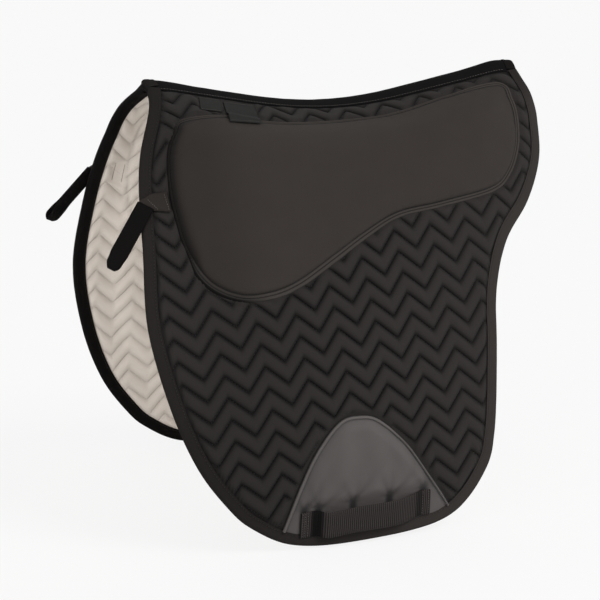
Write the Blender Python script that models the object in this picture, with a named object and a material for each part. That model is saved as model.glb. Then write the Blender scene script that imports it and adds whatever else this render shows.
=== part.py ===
"""Icelandic saddle pad: two quilted flaps hung from a spine tape, each with a foam saddle panel,
a girth patch with its webbing loop, and a front strap.

The pad stands as it lies on the horse: +X to the tail, +Y to the horse's right, +Z up, with the
origin at mid-length on the underside of the spine, where it rests on the horse's back.

Each cloth is cut flat, creased where it bends, and laid over the form of the back. On the flat
pattern x runs along the horse and v down the cloth, from the level of the spine's ends. Lift is
the height above the quilting's stitch lines. A flat piece lies with x along +X, v along -Y and
lift along +Z.
"""

import math

import bmesh
import bpy
import numpy as np
from mathutils import Matrix, Vector
from mathutils.bvhtree import BVHTree
from mathutils.geometry import barycentric_transform

# Overall sizes, in metres
SPINE_LENGTH = 0.470
SPINE_DIP = 0.035
FLAP_DROP = 0.579
HEM_SPREAD = 0.444

# Plies, from the outside in
COVER_THICKNESS = 0.0012
WADDING_THICKNESS = 0.0066
WADDING_EDGE_THICKNESS = 0.0012
LINING_THICKNESS = 0.0012
WADDING_INSET = 0.004
PLY_GAP = 0.0009
SEAT_GAP = 0.0008
EDGE_GAP = 0.0005

# Chevron quilting
CHEVRON_WIDTH = 0.0496
CHEVRON_ROW = 0.0258
CHEVRON_HEIGHT = 0.0258
CHEVRON_STEEP_SHARE = 0.45
CHEVRON_TILT = math.radians(6.0)
CHEVRON_BOW = 0.35
COVER_CROWN = 0.0024
LINING_CROWN = 0.0018
CROWN_FADE = 0.014

# Tapes and bindings
RIDGE_CLEAR = 0.015
RIDGE_ROUNDING = 0.003
FOLD_RISE = 0.003
TAPE_WIDTH = 0.040
TAPE_THICKNESS = 0.0012
BINDING_WIDTH = 0.0145
BINDING_THICKNESS = 0.0012
BINDING_SLACK = 0.0012
PRESSED_WIDTH = 0.038

# Saddle panel
PANEL_FOAM_THICKNESS = 0.0055
PANEL_ROUNDING = 0.005
PANEL_COVER_THICKNESS = 0.0012
PANEL_PIPING = 0.0036

# Girth patch and its webbing
PATCH_THICKNESS = 0.0012
PATCH_PIPING = 0.0032
GIRTH_BAND_WIDTH = 0.031
GIRTH_BAND_THICKNESS = 0.0014
GIRTH_BAND_LENGTH = 0.168
GIRTH_BAND_SEWN_END = 0.018
GIRTH_BAND_RISE = 0.016
GIRTH_SLOT_HEIGHT = 0.0085

# Front straps
STRAP_WIDTH = 0.021
STRAP_LENGTH = 0.087
STRAP_PLY = 0.0015
STRAP_EYE = 0.0090
STRAP_EYE_LENGTH = 0.034
STRAP_CAP = 0.0068
STRAP_ANGLE = math.radians(52.5)
TAB_THICKNESS = 0.0028
TAB_REACH = 0.027
TAB_WIDTH = 0.026

# Labels
LABEL_THICKNESS = 0.0006
LABEL_LIFT = 0.0011
CARE_LABEL_SIZE = (0.026, 0.029)
MAKER_LABEL_SIZE = (0.042, 0.047)

# Form of the horse's back under the cover: depths are shares of the drop, half widths shares of
# half the hem's spread
SECTION_DEPTHS = np.array((0.0, 0.052, 0.138, 0.276, 0.484, 0.725, 1.0))
FRONT_WIDTHS = np.array((0.0, 0.239, 0.405, 0.622, 0.829, 0.950, 1.0))
MIDDLE_WIDTHS = np.array((0.0, 0.306, 0.523, 0.676, 0.856, 0.968, 1.0))
REAR_WIDTHS = np.array((0.0, 0.162, 0.288, 0.410, 0.586, 0.779, 0.946))
DIP_SHARPNESS = 1.7

# Outlines on the flat pattern: x as a share of half the spine, v as a share of the pattern's height
FLAP_EDGE = (
    (-1.013, 0.0), (-1.034, 0.058), (-1.068, 0.099), (-1.136, 0.168), (-1.179, 0.246),
    (-1.209, 0.365), (-1.230, 0.516), (-1.153, 0.674), (-1.034, 0.800), (-0.885, 0.891),
    (-0.766, 0.940), (-0.574, 0.985), (-0.302, 1.000), (0.098, 0.987), (0.353, 0.950),
    (0.536, 0.866), (0.604, 0.785), (0.655, 0.625), (0.689, 0.505), (0.787, 0.401),
    (0.957, 0.313), (1.064, 0.226), (1.085, 0.142), (1.064, 0.090), (1.036, 0.050),
    (1.026, 0.0),
)
PANEL_EDGE = (
    (-0.949, 0.148), (-0.898, 0.129), (-0.668, 0.125), (-0.506, 0.142), (-0.272, 0.150),
    (0.106, 0.142), (0.294, 0.132), (0.591, 0.096), (0.885, 0.071), (0.922, 0.104),
    (0.932, 0.143), (0.911, 0.197), (0.838, 0.257), (0.715, 0.298), (0.396, 0.337),
    (0.145, 0.360), (-0.051, 0.397), (-0.251, 0.441), (-0.443, 0.479), (-0.596, 0.493),
    (-0.757, 0.487), (-0.902, 0.450), (-0.991, 0.383), (-1.021, 0.305), (-1.021, 0.243),
    (-0.996, 0.182),
)
PATCH_ARCH = (
    (-0.700, 1.020), (-0.613, 0.951), (-0.519, 0.873), (-0.417, 0.809), (-0.264, 0.756),
    (-0.179, 0.752), (-0.081, 0.762), (0.038, 0.809), (0.145, 0.862), (0.294, 0.928),
    (0.400, 1.000),
)
GIRTH_BAND_START = (-0.519, 0.947)
STRAP_ROOT = (-1.164, 0.284)
CARE_LABEL_PLACE = (-0.723, 0.083)
CARE_LABEL_TURN = math.radians(-10.0)
MAKER_LABEL_PLACE = (-0.562, 0.1125)
MAKER_LABEL_TURN = math.radians(-6.0)

# How finely pieces are made
OUTLINE_STEPS = 2
RIDGE_STEPS = 12
TUBE_SMOOTHNESS = 1
TAPE_CREASES = (-0.65, -0.2, 0.0, 0.2, 0.65)
ARCH_CREASES = (-1.0, -0.86, -0.26, 0.0, 0.26, 0.86, 1.0)
LABEL_CREASES = 15
ROUNDING_STEPS = 1
FLAT_ANGLE = math.radians(0.5)
LEVEL_NORMAL = 0.9999
SAMPLE = 0.0005
DEEPEST = 1.25
DEPTH_SAMPLES = 301
SHARP_ANGLE = math.radians(40)

HALF_LENGTH = SPINE_LENGTH / 2
PATTERN_HEIGHT = SPINE_DIP + FLAP_DROP
LEFT, RIGHT = "left", "right"


def clear_scene():
    for obj in list(bpy.data.objects):
        bpy.data.objects.remove(obj, do_unlink=True)


def new_collection(name):
    collection = bpy.data.collections.new(name)
    bpy.context.scene.collection.children.link(collection)
    return collection


clear_scene()
PAD = new_collection("icelandic_saddle_pad")
GUIDES = new_collection("construction_guides")
GUIDES.hide_render = True


# The form of the back


def dip(x):
    """How far the crest of the cover lies below its ends."""
    share = np.clip(np.abs(x) / HALF_LENGTH, 0, 1)
    return SPINE_DIP * (1 - share**2) ** DIP_SHARPNESS


def section_width(depth, widths):
    """Half width of one section at these depths below its crest, smooth through its points."""
    knots = SECTION_DEPTHS * FLAP_DROP
    values = widths * HEM_SPREAD / 2
    slopes = np.gradient(values, knots)
    slopes[0] = values[1] / knots[1]
    cell = np.clip(np.searchsorted(knots, depth, side="right") - 1, 0, len(knots) - 2)
    span = knots[cell + 1] - knots[cell]
    t = np.clip((depth - knots[cell]) / span, 0, DEEPEST)
    start = (2 * t**3 - 3 * t**2 + 1) * values[cell] + (t**3 - 2 * t**2 + t) * span * slopes[cell]
    end = (3 * t**2 - 2 * t**3) * values[cell + 1] + (t**3 - t**2) * span * slopes[cell + 1]
    return start + end


def half_width(x, depth):
    """Distance from the mid-plane to the cover's stitch lines, at a depth below the crest."""
    t = x / HALF_LENGTH
    front = section_width(depth, FRONT_WIDTHS)
    middle = section_width(depth, MIDDLE_WIDTHS)
    rear = section_width(depth, REAR_WIDTHS)
    return middle + (rear - front) / 2 * t + (front + rear - 2 * middle) / 2 * t**2


def depth_down(x, along):
    """Depth below the crest of points this far down the cloth from it."""
    depths = np.linspace(0, DEEPEST * FLAP_DROP, DEPTH_SAMPLES)
    widths = half_width(x[:, None], depths[None, :])
    steps = np.hypot(np.diff(widths, axis=1), np.diff(depths)[None, :])
    lengths = np.hstack([np.zeros((len(x), 1)), np.cumsum(steps, axis=1)])
    return np.array([np.interp(a, row, depths) for a, row in zip(along, lengths)])


def tape_edge(x):
    """Half width and depth of the cover under the spine tape's edge."""
    depth = depth_down(x, np.full(len(x), TAPE_WIDTH / 2))
    return half_width(x, depth), depth


def ridge_raise(x):
    """What lifts the rounded ridge so that it meets the cover at the tape's edge."""
    depth = tape_edge(x)[1]
    return np.hypot(depth, RIDGE_ROUNDING) - depth


# Lifts of the layers along the spine and at the flaps' edges
TAPE_LIFT = SEAT_GAP
LINING_EDGE_LIFT = -(
    COVER_THICKNESS + PLY_GAP + WADDING_EDGE_THICKNESS + PLY_GAP + LINING_THICKNESS
)
LINING_TAPE_LIFT = LINING_EDGE_LIFT - SEAT_GAP - TAPE_THICKNESS
CREST = RIDGE_ROUNDING - float(ridge_raise(np.zeros(1))[0]) - LINING_TAPE_LIFT
HINGE = Vector((0.0, 0.0, CREST + SPINE_DIP + FOLD_RISE))


def flap_form(side):
    """The cover's surface on one side, as a function of flat x and y."""
    sign = -1 if side == LEFT else 1

    def surface(x, y):
        depth = depth_down(x, -y - dip(x))
        return np.column_stack(
            [x, sign * half_width(x, depth), CREST + SPINE_DIP - dip(x) - depth]
        )

    return surface, -sign


def spine_form():
    """The rounded ridge that the tapes follow, as a function of flat x and the way across."""

    def surface(x, across):
        width, depth = tape_edge(x)
        share = across / (TAPE_WIDTH / 2)
        drop = np.hypot(depth * share, RIDGE_ROUNDING) - ridge_raise(x)
        return np.column_stack([x, width * share, CREST + SPINE_DIP - dip(x) - drop])

    return surface, 1


def laid(form, x, y, lift):
    """Points of the flat pattern laid on a form and raised along its outward normal."""
    surface, turn = form
    along = surface(x + SAMPLE, y) - surface(x - SAMPLE, y)
    across = surface(x, y + SAMPLE) - surface(x, y - SAMPLE)
    normal = turn * np.cross(along, across)
    normal /= np.linalg.norm(normal, axis=1)[:, None]
    return surface(x, y) + normal * np.asarray(lift)[:, None]


# Outlines on the flat pattern, as arrays of (x, v)


def pattern_points(shares):
    return np.array([(x * HALF_LENGTH, v * PATTERN_HEIGHT) for x, v in shares])


def smooth_line(points, closed, steps=OUTLINE_STEPS):
    """A smooth line through the points, with a few steps from each to the next."""
    count = len(points)
    line = []
    for i in range(count if closed else count - 1):
        if closed:
            a, b, c, d = (points[(i + k) % count] for k in (-1, 0, 1, 2))
        else:
            b, c = points[i], points[i + 1]
            a = points[i - 1] if i else 2 * b - c
            d = points[i + 2] if i + 2 < count else 2 * c - b
        for t in np.arange(steps) / steps:
            line.append(
                0.5 * (2 * b + (c - a) * t + (2 * a - 5 * b + 4 * c - d) * t**2
                       + (3 * b - a - 3 * c + d) * t**3)
            )
    if not closed:
        line.append(points[-1])
    return np.array(line)


def inset(loop, distance):
    """A closed outline moved inwards, or outwards where the distance is negative."""
    before = loop - np.roll(loop, 1, axis=0)
    after = np.roll(loop, -1, axis=0) - loop
    before /= np.linalg.norm(before, axis=1)[:, None]
    after /= np.linalg.norm(after, axis=1)[:, None]
    inward = np.column_stack([-(before + after)[:, 1], (before + after)[:, 0]])
    inward /= np.linalg.norm(inward, axis=1)[:, None]
    area = np.sum(loop[:, 0] * np.roll(loop[:, 1], -1) - np.roll(loop[:, 0], -1) * loop[:, 1])
    return loop + inward * distance * (1 if area > 0 else -1)


def distance_to(loop, points):
    """Distance of points to a closed outline, negative outside it."""
    start, end = loop, np.roll(loop, -1, axis=0)
    run = end - start
    offset = points[:, None, :] - start[None]
    share = np.clip((offset * run).sum(2) / (run**2).sum(1), 0, 1)
    nearest = np.linalg.norm(offset - share[..., None] * run, axis=2).min(1)
    rises = (start[:, 1] > points[:, None, 1]) != (end[:, 1] > points[:, None, 1])
    height = np.where(run[:, 1] == 0, 1, run[:, 1])
    crossing = start[:, 0] + (points[:, None, 1] - start[:, 1]) / height * run[:, 0]
    inside = (rises & (points[:, None, 0] < crossing)).sum(1) % 2 == 1
    return np.where(inside, nearest, -nearest)


def flap_edge_line():
    """The flap's bound edge, from the spine's front end round the hem to its rear end."""
    points = pattern_points(FLAP_EDGE)
    points[[0, -1], 1] = RIDGE_CLEAR
    return smooth_line(points, closed=False)


def flap_loop():
    """The whole flap: its bound edge, closed along the ridge."""
    edge = flap_edge_line()
    x = np.linspace(edge[-1, 0], edge[0, 0], RIDGE_STEPS + 1)[1:-1]
    return np.vstack([edge, np.column_stack([x, dip(x) + RIDGE_CLEAR])])


FLAP = flap_loop()
PLY = inset(FLAP, BINDING_THICKNESS + EDGE_GAP)
PANEL = smooth_line(pattern_points(PANEL_EDGE), closed=True, steps=2)
HEM_LIMIT = inset(FLAP, BINDING_WIDTH + EDGE_GAP)


def smooth_step(share):
    share = np.clip(share, 0, 1)
    return share**2 * (3 - 2 * share)


def fullness(x, v):
    """0 where the plies are pressed together along a bound edge, 1 where the pad is full."""
    inside = distance_to(PLY, np.column_stack([x, v]))
    return smooth_step((inside - PRESSED_WIDTH) / (2 * CROWN_FADE))


# The chevron pattern: a runs along its rows and b down its columns


def to_pattern(x, v):
    """Pattern coordinates of flat points. The first valley stitched is at a = 0, b = 0."""
    from_x = x - GRID_START[0]
    from_v = v - CHEVRON_BOW * dip(x) - GRID_START[1]
    cosine, sine = math.cos(CHEVRON_TILT), math.sin(CHEVRON_TILT)
    return from_x * cosine - from_v * sine, from_x * sine + from_v * cosine


def from_pattern(a, b):
    cosine, sine = math.cos(CHEVRON_TILT), math.sin(CHEVRON_TILT)
    x = GRID_START[0] + a * cosine + b * sine
    return x, GRID_START[1] - a * sine + b * cosine + CHEVRON_BOW * dip(x)


GRID_START = np.array((-1.029 * HALF_LENGTH, 0.4725 * PATTERN_HEIGHT))
PEAK_COLUMN = CHEVRON_WIDTH * (1 - CHEVRON_STEEP_SHARE)
BENDING_END = -3 * CHEVRON_ROW


def zigzag(a):
    """How far a stitch line rises above its valleys."""
    share = (a / CHEVRON_WIDTH) % 1
    rising = 1 - CHEVRON_STEEP_SHARE
    climb = np.where(share < rising, share / rising, (1 - share) / CHEVRON_STEEP_SHARE)
    return -CHEVRON_HEIGHT * climb


def crown_share(x, v):
    """0 on a stitch line, 1 midway between two."""
    a, b = to_pattern(x, v)
    return np.sin(math.pi * (b - zigzag(a)) / CHEVRON_ROW) ** 2


def lines_within(low, high, step, start=0.0):
    first = math.ceil((low - start) / step)
    last = math.floor((high - start) / step)
    return [start + step * i for i in range(first, last + 1)]


# Flat pieces


def prism(name, loops, low, high, rounding=0.0):
    """A flat piece: the area inside its outlines, from one lift to another.

    With a rounding, its outlines grow by that much and its edges are round, and it reaches
    below the lower lift, so that its sides are straight there.
    """
    low -= 2 * rounding
    curve = bpy.data.curves.new(name, "CURVE")
    curve.dimensions = "2D"
    curve.fill_mode = "BOTH"
    curve.extrude = (high - low) / 2 - rounding
    curve.bevel_depth = rounding
    curve.bevel_resolution = ROUNDING_STEPS
    for loop in loops:
        spline = curve.splines.new("POLY")
        spline.points.add(len(loop) - 1)
        for point, (x, v) in zip(spline.points, loop):
            point.co = (x, -v, 0, 1)
        spline.use_cyclic_u = True
    obj = bpy.data.objects.new(name, curve)
    obj.location.z = (high + low) / 2
    return as_mesh(obj)


def as_mesh(obj, whole_faces=True):
    """The evaluated curve as a closed mesh in flat space, its flat faces whole if asked."""
    GUIDES.objects.link(obj)
    bpy.context.view_layer.update()
    graph = bpy.context.evaluated_depsgraph_get()
    mesh = bpy.data.meshes.new_from_object(obj.evaluated_get(graph))
    mesh.transform(obj.matrix_world)
    name = obj.name
    bpy.data.objects.remove(obj, do_unlink=True)
    bm = bmesh.new()
    bm.from_mesh(mesh)
    bmesh.ops.remove_doubles(bm, verts=bm.verts, dist=0.00001)
    if whole_faces:
        bm.normal_update()
        level = {f for f in bm.faces if abs(f.normal.z) > LEVEL_NORMAL}
        inner = [e for e in bm.edges if all(f in level for f in e.link_faces)]
        bmesh.ops.dissolve_limit(bm, angle_limit=FLAT_ANGLE, verts=[], edges=inner)
    bmesh.ops.recalc_face_normals(bm, faces=bm.faces)
    bm.to_mesh(mesh)
    bm.free()
    made = bpy.data.objects.new(name, mesh)
    GUIDES.objects.link(made)
    made.display_type = "WIRE"
    made.hide_render = True
    return made


def cut(piece, cutter, operation):
    """A Boolean between two flat pieces. The cutter is used up."""
    modifier = piece.modifiers.new("cut", "BOOLEAN")
    modifier.operation = operation
    modifier.object = cutter
    modifier.solver = "EXACT"
    bpy.context.view_layer.update()
    graph = bpy.context.evaluated_depsgraph_get()
    mesh = bpy.data.meshes.new_from_object(piece.evaluated_get(graph))
    piece.modifiers.clear()
    piece.data = mesh
    bpy.data.objects.remove(cutter, do_unlink=True)
    return piece


def faces_on(bm, level, wanted=None):
    """Faces that lie flat at one lift, or all where level is None, with their edges and corners."""
    faces = list(bm.faces)
    if level is not None:
        faces = [f for f in faces if all(abs(v.co.z - level) < 1e-6 for v in f.verts)]
    if wanted:
        faces = [f for f in faces if wanted(f.calc_center_median())]
    edges = {e for f in faces for e in f.edges}
    verts = {v for f in faces for v in f.verts}
    return faces + list(edges) + list(verts)


def crease(bm, axis, places, level=None, wanted=None):
    """Lines across a flat piece along which it can bend."""
    normal = Vector((1, 0, 0)) if axis == 0 else Vector((0, 1, 0))
    for place in places:
        geometry = faces_on(bm, level, wanted)
        if geometry:
            bmesh.ops.bisect_plane(
                bm, geom=geometry, dist=1e-6, plane_co=normal * place, plane_no=normal
            )


def flat_arrays(bm):
    points = np.array([v.co for v in bm.verts])
    return points[:, 0], -points[:, 1], points[:, 2]


def move(bm, x, v, z):
    for vert, place in zip(bm.verts, np.column_stack([x, -v, z])):
        vert.co = place


def into_pattern(bm):
    x, v, z = flat_arrays(bm)
    a, b = to_pattern(x, v)
    move(bm, a, b, z)


def out_of_pattern(bm):
    a, b, z = flat_arrays(bm)
    x, v = from_pattern(a, b)
    move(bm, x, v, z)


def shear(bm, sign):
    a, b, z = flat_arrays(bm)
    move(bm, a, b + sign * zigzag(a), z)


def crease_plain(bm, level=None, fine=False):
    """Straight creases on the quilting's grid, which every layer shares.

    A fine piece has every crease that the quilted face below it has. The hidden faces have fewer
    columns, and below the panel, where the pad hardly bends, every second row.
    """
    into_pattern(bm)
    a, b, _ = flat_arrays(bm)
    columns = lines_within(a.min(), a.max(), CHEVRON_WIDTH)
    rows = lines_within(b.min(), b.max(), CHEVRON_ROW)
    if fine:
        columns += lines_within(a.min(), a.max(), CHEVRON_WIDTH, PEAK_COLUMN)
    else:
        rows = [p for p in rows if p < BENDING_END or round(p / CHEVRON_ROW) % 2 == 0]
    crease(bm, 0, columns, level)
    crease(bm, 1, [-place for place in rows], level)
    out_of_pattern(bm)


def crease_chevrons(bm, level, shows):
    """Creases along the stitch lines, and midway between them where the quilting shows."""
    into_pattern(bm)
    a, _, _ = flat_arrays(bm)
    for start in (0.0, PEAK_COLUMN):
        crease(bm, 0, lines_within(a.min(), a.max(), CHEVRON_WIDTH, start), level)
    shear(bm, -1)
    _, b, _ = flat_arrays(bm)
    crease(bm, 1, [-p for p in lines_within(b.min(), b.max(), CHEVRON_ROW)], level)

    def crown_shows(centre):
        a, b = np.array([centre.x]), np.array([-centre.y])
        x, v = from_pattern(a, b + zigzag(a))
        return shows(np.column_stack([x, v]))[0]

    halfway = lines_within(b.min(), b.max(), CHEVRON_ROW, CHEVRON_ROW / 2)
    crease(bm, 1, [-p for p in halfway], level, crown_shows)
    shear(bm, 1)
    out_of_pattern(bm)


# Finished pieces


def material(name, colour, roughness, sheen=0.0):
    made = bpy.data.materials.get(name)
    if made:
        return made
    made = bpy.data.materials.new(name)
    made.use_nodes = True
    shader = made.node_tree.nodes["Principled BSDF"]
    shader.inputs["Base Color"].default_value = (*colour, 1)
    shader.inputs["Roughness"].default_value = roughness
    shader.inputs["Metallic"].default_value = 0.0
    shader.inputs["Sheen Weight"].default_value = sheen
    made.diffuse_color = (*colour, 1)
    return made


BLACK_COTTON = ("black_quilted_cotton", (0.033, 0.029, 0.028), 0.90, 0.3)
BLACK_CANVAS = ("black_canvas", (0.042, 0.037, 0.034), 0.85, 0.3)
BLACK_TAPE = ("black_woven_tape", (0.016, 0.014, 0.013), 0.80, 0.0)
BLACK_WEBBING = ("black_webbing", (0.024, 0.022, 0.021), 0.70, 0.0)
COATED_PATCH = ("coated_grey_patch", (0.090, 0.083, 0.078), 0.45, 0.0)
PALE_LINING = ("pale_lining_cotton", (0.62, 0.55, 0.48), 0.92, 0.2)
WADDING = ("wadding", (0.80, 0.78, 0.74), 0.95, 0.0)
FOAM = ("foam", (0.35, 0.33, 0.30), 0.90, 0.0)
LABEL_WEAVE = ("label_weave", (0.055, 0.060, 0.055), 0.60, 0.0)


def empty_at(name, place, parent=None):
    empty = bpy.data.objects.new(name, None)
    empty.empty_display_size = 0.03
    PAD.objects.link(empty)
    empty.location = place
    if parent:
        empty.parent = parent
        empty.location = place - parent.matrix_world.translation
    bpy.context.view_layer.update()
    return empty


def finish(name, bm, look, parent=None):
    """Links the mesh, given in world coordinates, under its parent."""
    origin = parent.matrix_world.translation if parent else Vector()
    for vert in bm.verts:
        vert.co = vert.co - origin
    bmesh.ops.triangulate(bm, faces=bm.faces, quad_method="SHORT_EDGE", ngon_method="BEAUTY")
    mesh = bpy.data.meshes.new(name)
    bm.to_mesh(mesh)
    bm.free()
    mesh.shade_smooth()
    mesh.set_sharp_from_angle(angle=SHARP_ANGLE)
    mesh.materials.append(material(*look))
    obj = bpy.data.objects.new(name, mesh)
    obj.parent = parent
    PAD.objects.link(obj)
    return obj


def open_piece(piece):
    bm = bmesh.new()
    bm.from_mesh(piece.data)
    bpy.data.objects.remove(piece, do_unlink=True)
    return bm


def lay(name, piece, form, lift, look, parent=None):
    """Lays a flat piece over a form. lift gives each point its height from x, v and z."""
    bm = open_piece(piece) if isinstance(piece, bpy.types.Object) else piece
    bmesh.ops.triangulate(bm, faces=bm.faces, quad_method="SHORT_EDGE", ngon_method="BEAUTY")
    x, v, z = flat_arrays(bm)
    for vert, place in zip(bm.verts, laid(form, x, -v, lift(x, v, z))):
        vert.co = place
    if form[1] < 0:
        bmesh.ops.reverse_faces(bm, faces=bm.faces)
    return finish(name, bm, look, parent)


def patch_loop():
    return smooth_line(pattern_points(PATCH_ARCH), closed=False, steps=2)


def wadding_depth(x, v):
    full = WADDING_THICKNESS - WADDING_EDGE_THICKNESS
    return WADDING_EDGE_THICKNESS + full * fullness(x, v)


def away_from(loop, points):
    """Share of the crown that is left near a piece sewn on top."""
    return smooth_step((-distance_to(loop, points) - 2 * PANEL_PIPING) / (1.5 * CROWN_FADE))


def cover_crown(x, v):
    points = np.column_stack([x, v])
    left = fullness(x, v) * away_from(PANEL, points) * away_from(patch_loop(), points)
    return COVER_CROWN * left * crown_share(x, v)


def quilting_shows(points):
    clear = distance_to(PLY, points) > PRESSED_WIDTH + CROWN_FADE / 4
    clear &= distance_to(PANEL, points) < 0
    return clear & (distance_to(patch_loop(), points) < 0)


def lining_shows(points):
    return distance_to(PLY, points) > PRESSED_WIDTH + CROWN_FADE / 2


def own_height(x, v, z):
    return z


def make_quilted_cover(side, parent):
    bm = open_piece(prism("cover", [PLY], 0, COVER_THICKNESS))
    crease_chevrons(bm, COVER_THICKNESS, quilting_shows)
    crease_plain(bm, level=0)

    def lift(x, v, z):
        outer = z > COVER_THICKNESS / 2
        return np.where(outer, cover_crown(x, v), -COVER_THICKNESS)

    lay(f"{side}_quilted_cover", bm, flap_form(side), lift, BLACK_COTTON, parent)


def make_wadding(side, parent):
    loop = inset(PLY, WADDING_INSET)
    bm = open_piece(prism("wadding", [loop], 0, WADDING_THICKNESS))
    crease_plain(bm)

    def lift(x, v, z):
        top = -(COVER_THICKNESS + PLY_GAP)
        return np.where(z > WADDING_THICKNESS / 2, top, top - wadding_depth(x, v))

    lay(f"{side}_wadding", bm, flap_form(side), lift, WADDING, parent)


def facet_lift(bm, level, form, lift):
    """How high the laid facets of one face of a flat piece lie over the form, at any flat point."""
    face = bm.copy()
    walls = [f for f in face.faces if any(abs(v.co.z - level) > 1e-6 for v in f.verts)]
    bmesh.ops.delete(face, geom=walls, context="FACES")
    x, v, _ = flat_arrays(face)
    corners = {vert: Vector(place) for vert, place in zip(face.verts, laid(form, x, -v, lift(x, v)))}
    face.faces.ensure_lookup_table()
    tree = BVHTree.FromBMesh(face)

    def height(x, v):
        foot = laid(form, x, -v, np.zeros(len(x)))
        up = laid(form, x, -v, np.ones(len(x))) - foot
        places = []
        for point in np.column_stack([x, -v]):
            nearest, _, index, _ = tree.find_nearest((*point, level))
            verts = face.faces[index].verts
            flat = [vert.co for vert in verts]
            places.append(barycentric_transform(nearest, *flat, *(corners[vert] for vert in verts)))
        return ((np.array(places) - foot) * up).sum(1)

    return height


def make_lining(side, parent):
    """The inner face is set off from the outer face's facets, so that the thin walls stay apart.

    Near the bound edge it may sag only a little, to keep clear of the binding.
    """
    bm = open_piece(prism("lining", [PLY], 0, LINING_THICKNESS))
    crease_chevrons(bm, 0, lining_shows)
    crease_plain(bm, level=LINING_THICKNESS)
    bmesh.ops.triangulate(bm, faces=bm.faces, quad_method="SHORT_EDGE", ngon_method="BEAUTY")

    def top(x, v):
        return -(COVER_THICKNESS + 2 * PLY_GAP + wadding_depth(x, v))

    above = facet_lift(bm, LINING_THICKNESS, flap_form(side), top)

    def lift(x, v, z):
        crown = LINING_CROWN * fullness(x, v) * crown_share(x, v)
        inside = distance_to(PLY, np.column_stack([x, v]))
        sag = EDGE_GAP / 2 + np.clip(inside - 1.5 * BINDING_WIDTH, 0, None) / 4
        inner = np.maximum(above(x, v), top(x, v) - sag) - LINING_THICKNESS - crown
        return np.where(z > LINING_THICKNESS / 2, top(x, v), inner)

    lay(f"{side}_lining", bm, flap_form(side), lift, PALE_LINING, parent)


# Sewn on: bindings, panel, patch, webbing, strap, labels


def swept(name, path, profile):
    """A profile swept along a flat path. Profile points are (to the path's left, lift)."""
    section = bpy.data.curves.new(f"{name}_section", "CURVE")
    section.dimensions = "2D"
    spline = section.splines.new("POLY")
    spline.points.add(len(profile) - 1)
    for point, (aside, lift) in zip(spline.points, profile):
        point.co = (-aside, lift, 0, 1)
    spline.use_cyclic_u = True
    holder = bpy.data.objects.new(f"{name}_section", section)
    GUIDES.objects.link(holder)
    curve = bpy.data.curves.new(name, "CURVE")
    curve.dimensions = "2D"
    curve.fill_mode = "NONE"
    curve.bevel_mode = "OBJECT"
    curve.bevel_object = holder
    curve.use_fill_caps = True
    line = curve.splines.new("POLY")
    line.points.add(len(path) - 1)
    for point, (x, v) in zip(line.points, path):
        point.co = (x, -v, 0, 1)
    made = as_mesh(bpy.data.objects.new(name, curve), whole_faces=False)
    bpy.data.objects.remove(holder, do_unlink=True)
    return made


def folded_tape(low, high):
    """A tape folded over an edge that lies between two lifts, its web on the path."""
    inner, outer = BINDING_THICKNESS, BINDING_WIDTH
    return [
        (0, low - inner), (0, high + inner), (outer, high + inner), (outer, high),
        (inner, high), (inner, low), (outer, low), (outer, low - inner),
    ]


def make_edge_binding(side, parent):
    profile = folded_tape(LINING_EDGE_LIFT - BINDING_SLACK, SEAT_GAP)
    piece = swept("binding", flap_edge_line(), profile)
    lay(f"{side}_edge_binding", piece, flap_form(side), own_height, BLACK_TAPE, parent)


def tube(name, path, radius, lift, closed):
    curve = bpy.data.curves.new(name, "CURVE")
    curve.dimensions = "3D"
    curve.bevel_depth = radius
    curve.bevel_resolution = TUBE_SMOOTHNESS
    curve.use_fill_caps = True
    spline = curve.splines.new("POLY")
    spline.points.add(len(path) - 1)
    for point, (x, v) in zip(spline.points, path):
        point.co = (x, -v, lift, 1)
    spline.use_cyclic_u = closed
    return as_mesh(bpy.data.objects.new(name, curve), whole_faces=False)


FOAM_LIFT = 2.5 * SEAT_GAP
FOAM_TOP = FOAM_LIFT + PANEL_FOAM_THICKNESS
PANEL_TOP = FOAM_TOP + EDGE_GAP + PANEL_COVER_THICKNESS
PANEL_RIM = 0.6 * PANEL_ROUNDING


def make_panel_cover(side, parent):
    """A cap over the foam, rounded at its edge and open underneath."""
    piece = prism("panel", [inset(PANEL, PANEL_ROUNDING)], SEAT_GAP, PANEL_TOP, PANEL_ROUNDING)
    hollow_top = PANEL_TOP - PANEL_COVER_THICKNESS
    below = [inset(PANEL, -PANEL_ROUNDING)]
    cut(piece, prism("below", below, -3 * PANEL_TOP, SEAT_GAP), "DIFFERENCE")
    cut(piece, prism("hollow", [inset(PANEL, PANEL_RIM)], 0, hollow_top), "DIFFERENCE")
    bm = open_piece(piece)
    crease_plain(bm, PANEL_TOP)
    crease_plain(bm, hollow_top)
    lay(f"{side}_panel_cover", bm, flap_form(side), own_height, BLACK_CANVAS, parent)


def make_panel_foam(side, parent):
    loop = inset(PANEL, PANEL_RIM + EDGE_GAP)
    bm = open_piece(prism("foam", [loop], FOAM_LIFT, FOAM_TOP))
    crease_plain(bm, FOAM_LIFT, fine=True)
    crease_plain(bm, FOAM_TOP)
    lay(f"{side}_panel_foam", bm, flap_form(side), own_height, FOAM, parent)


def make_panel_piping(side, parent):
    path = inset(PANEL, -(PANEL_PIPING / 2 + SEAT_GAP))
    lift = SEAT_GAP + PANEL_PIPING / 2
    piece = tube("piping", path, PANEL_PIPING / 2, lift, closed=True)
    lay(f"{side}_panel_piping", piece, flap_form(side), own_height, BLACK_CANVAS, parent)


PATCH_TOP = SEAT_GAP + PATCH_THICKNESS


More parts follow.
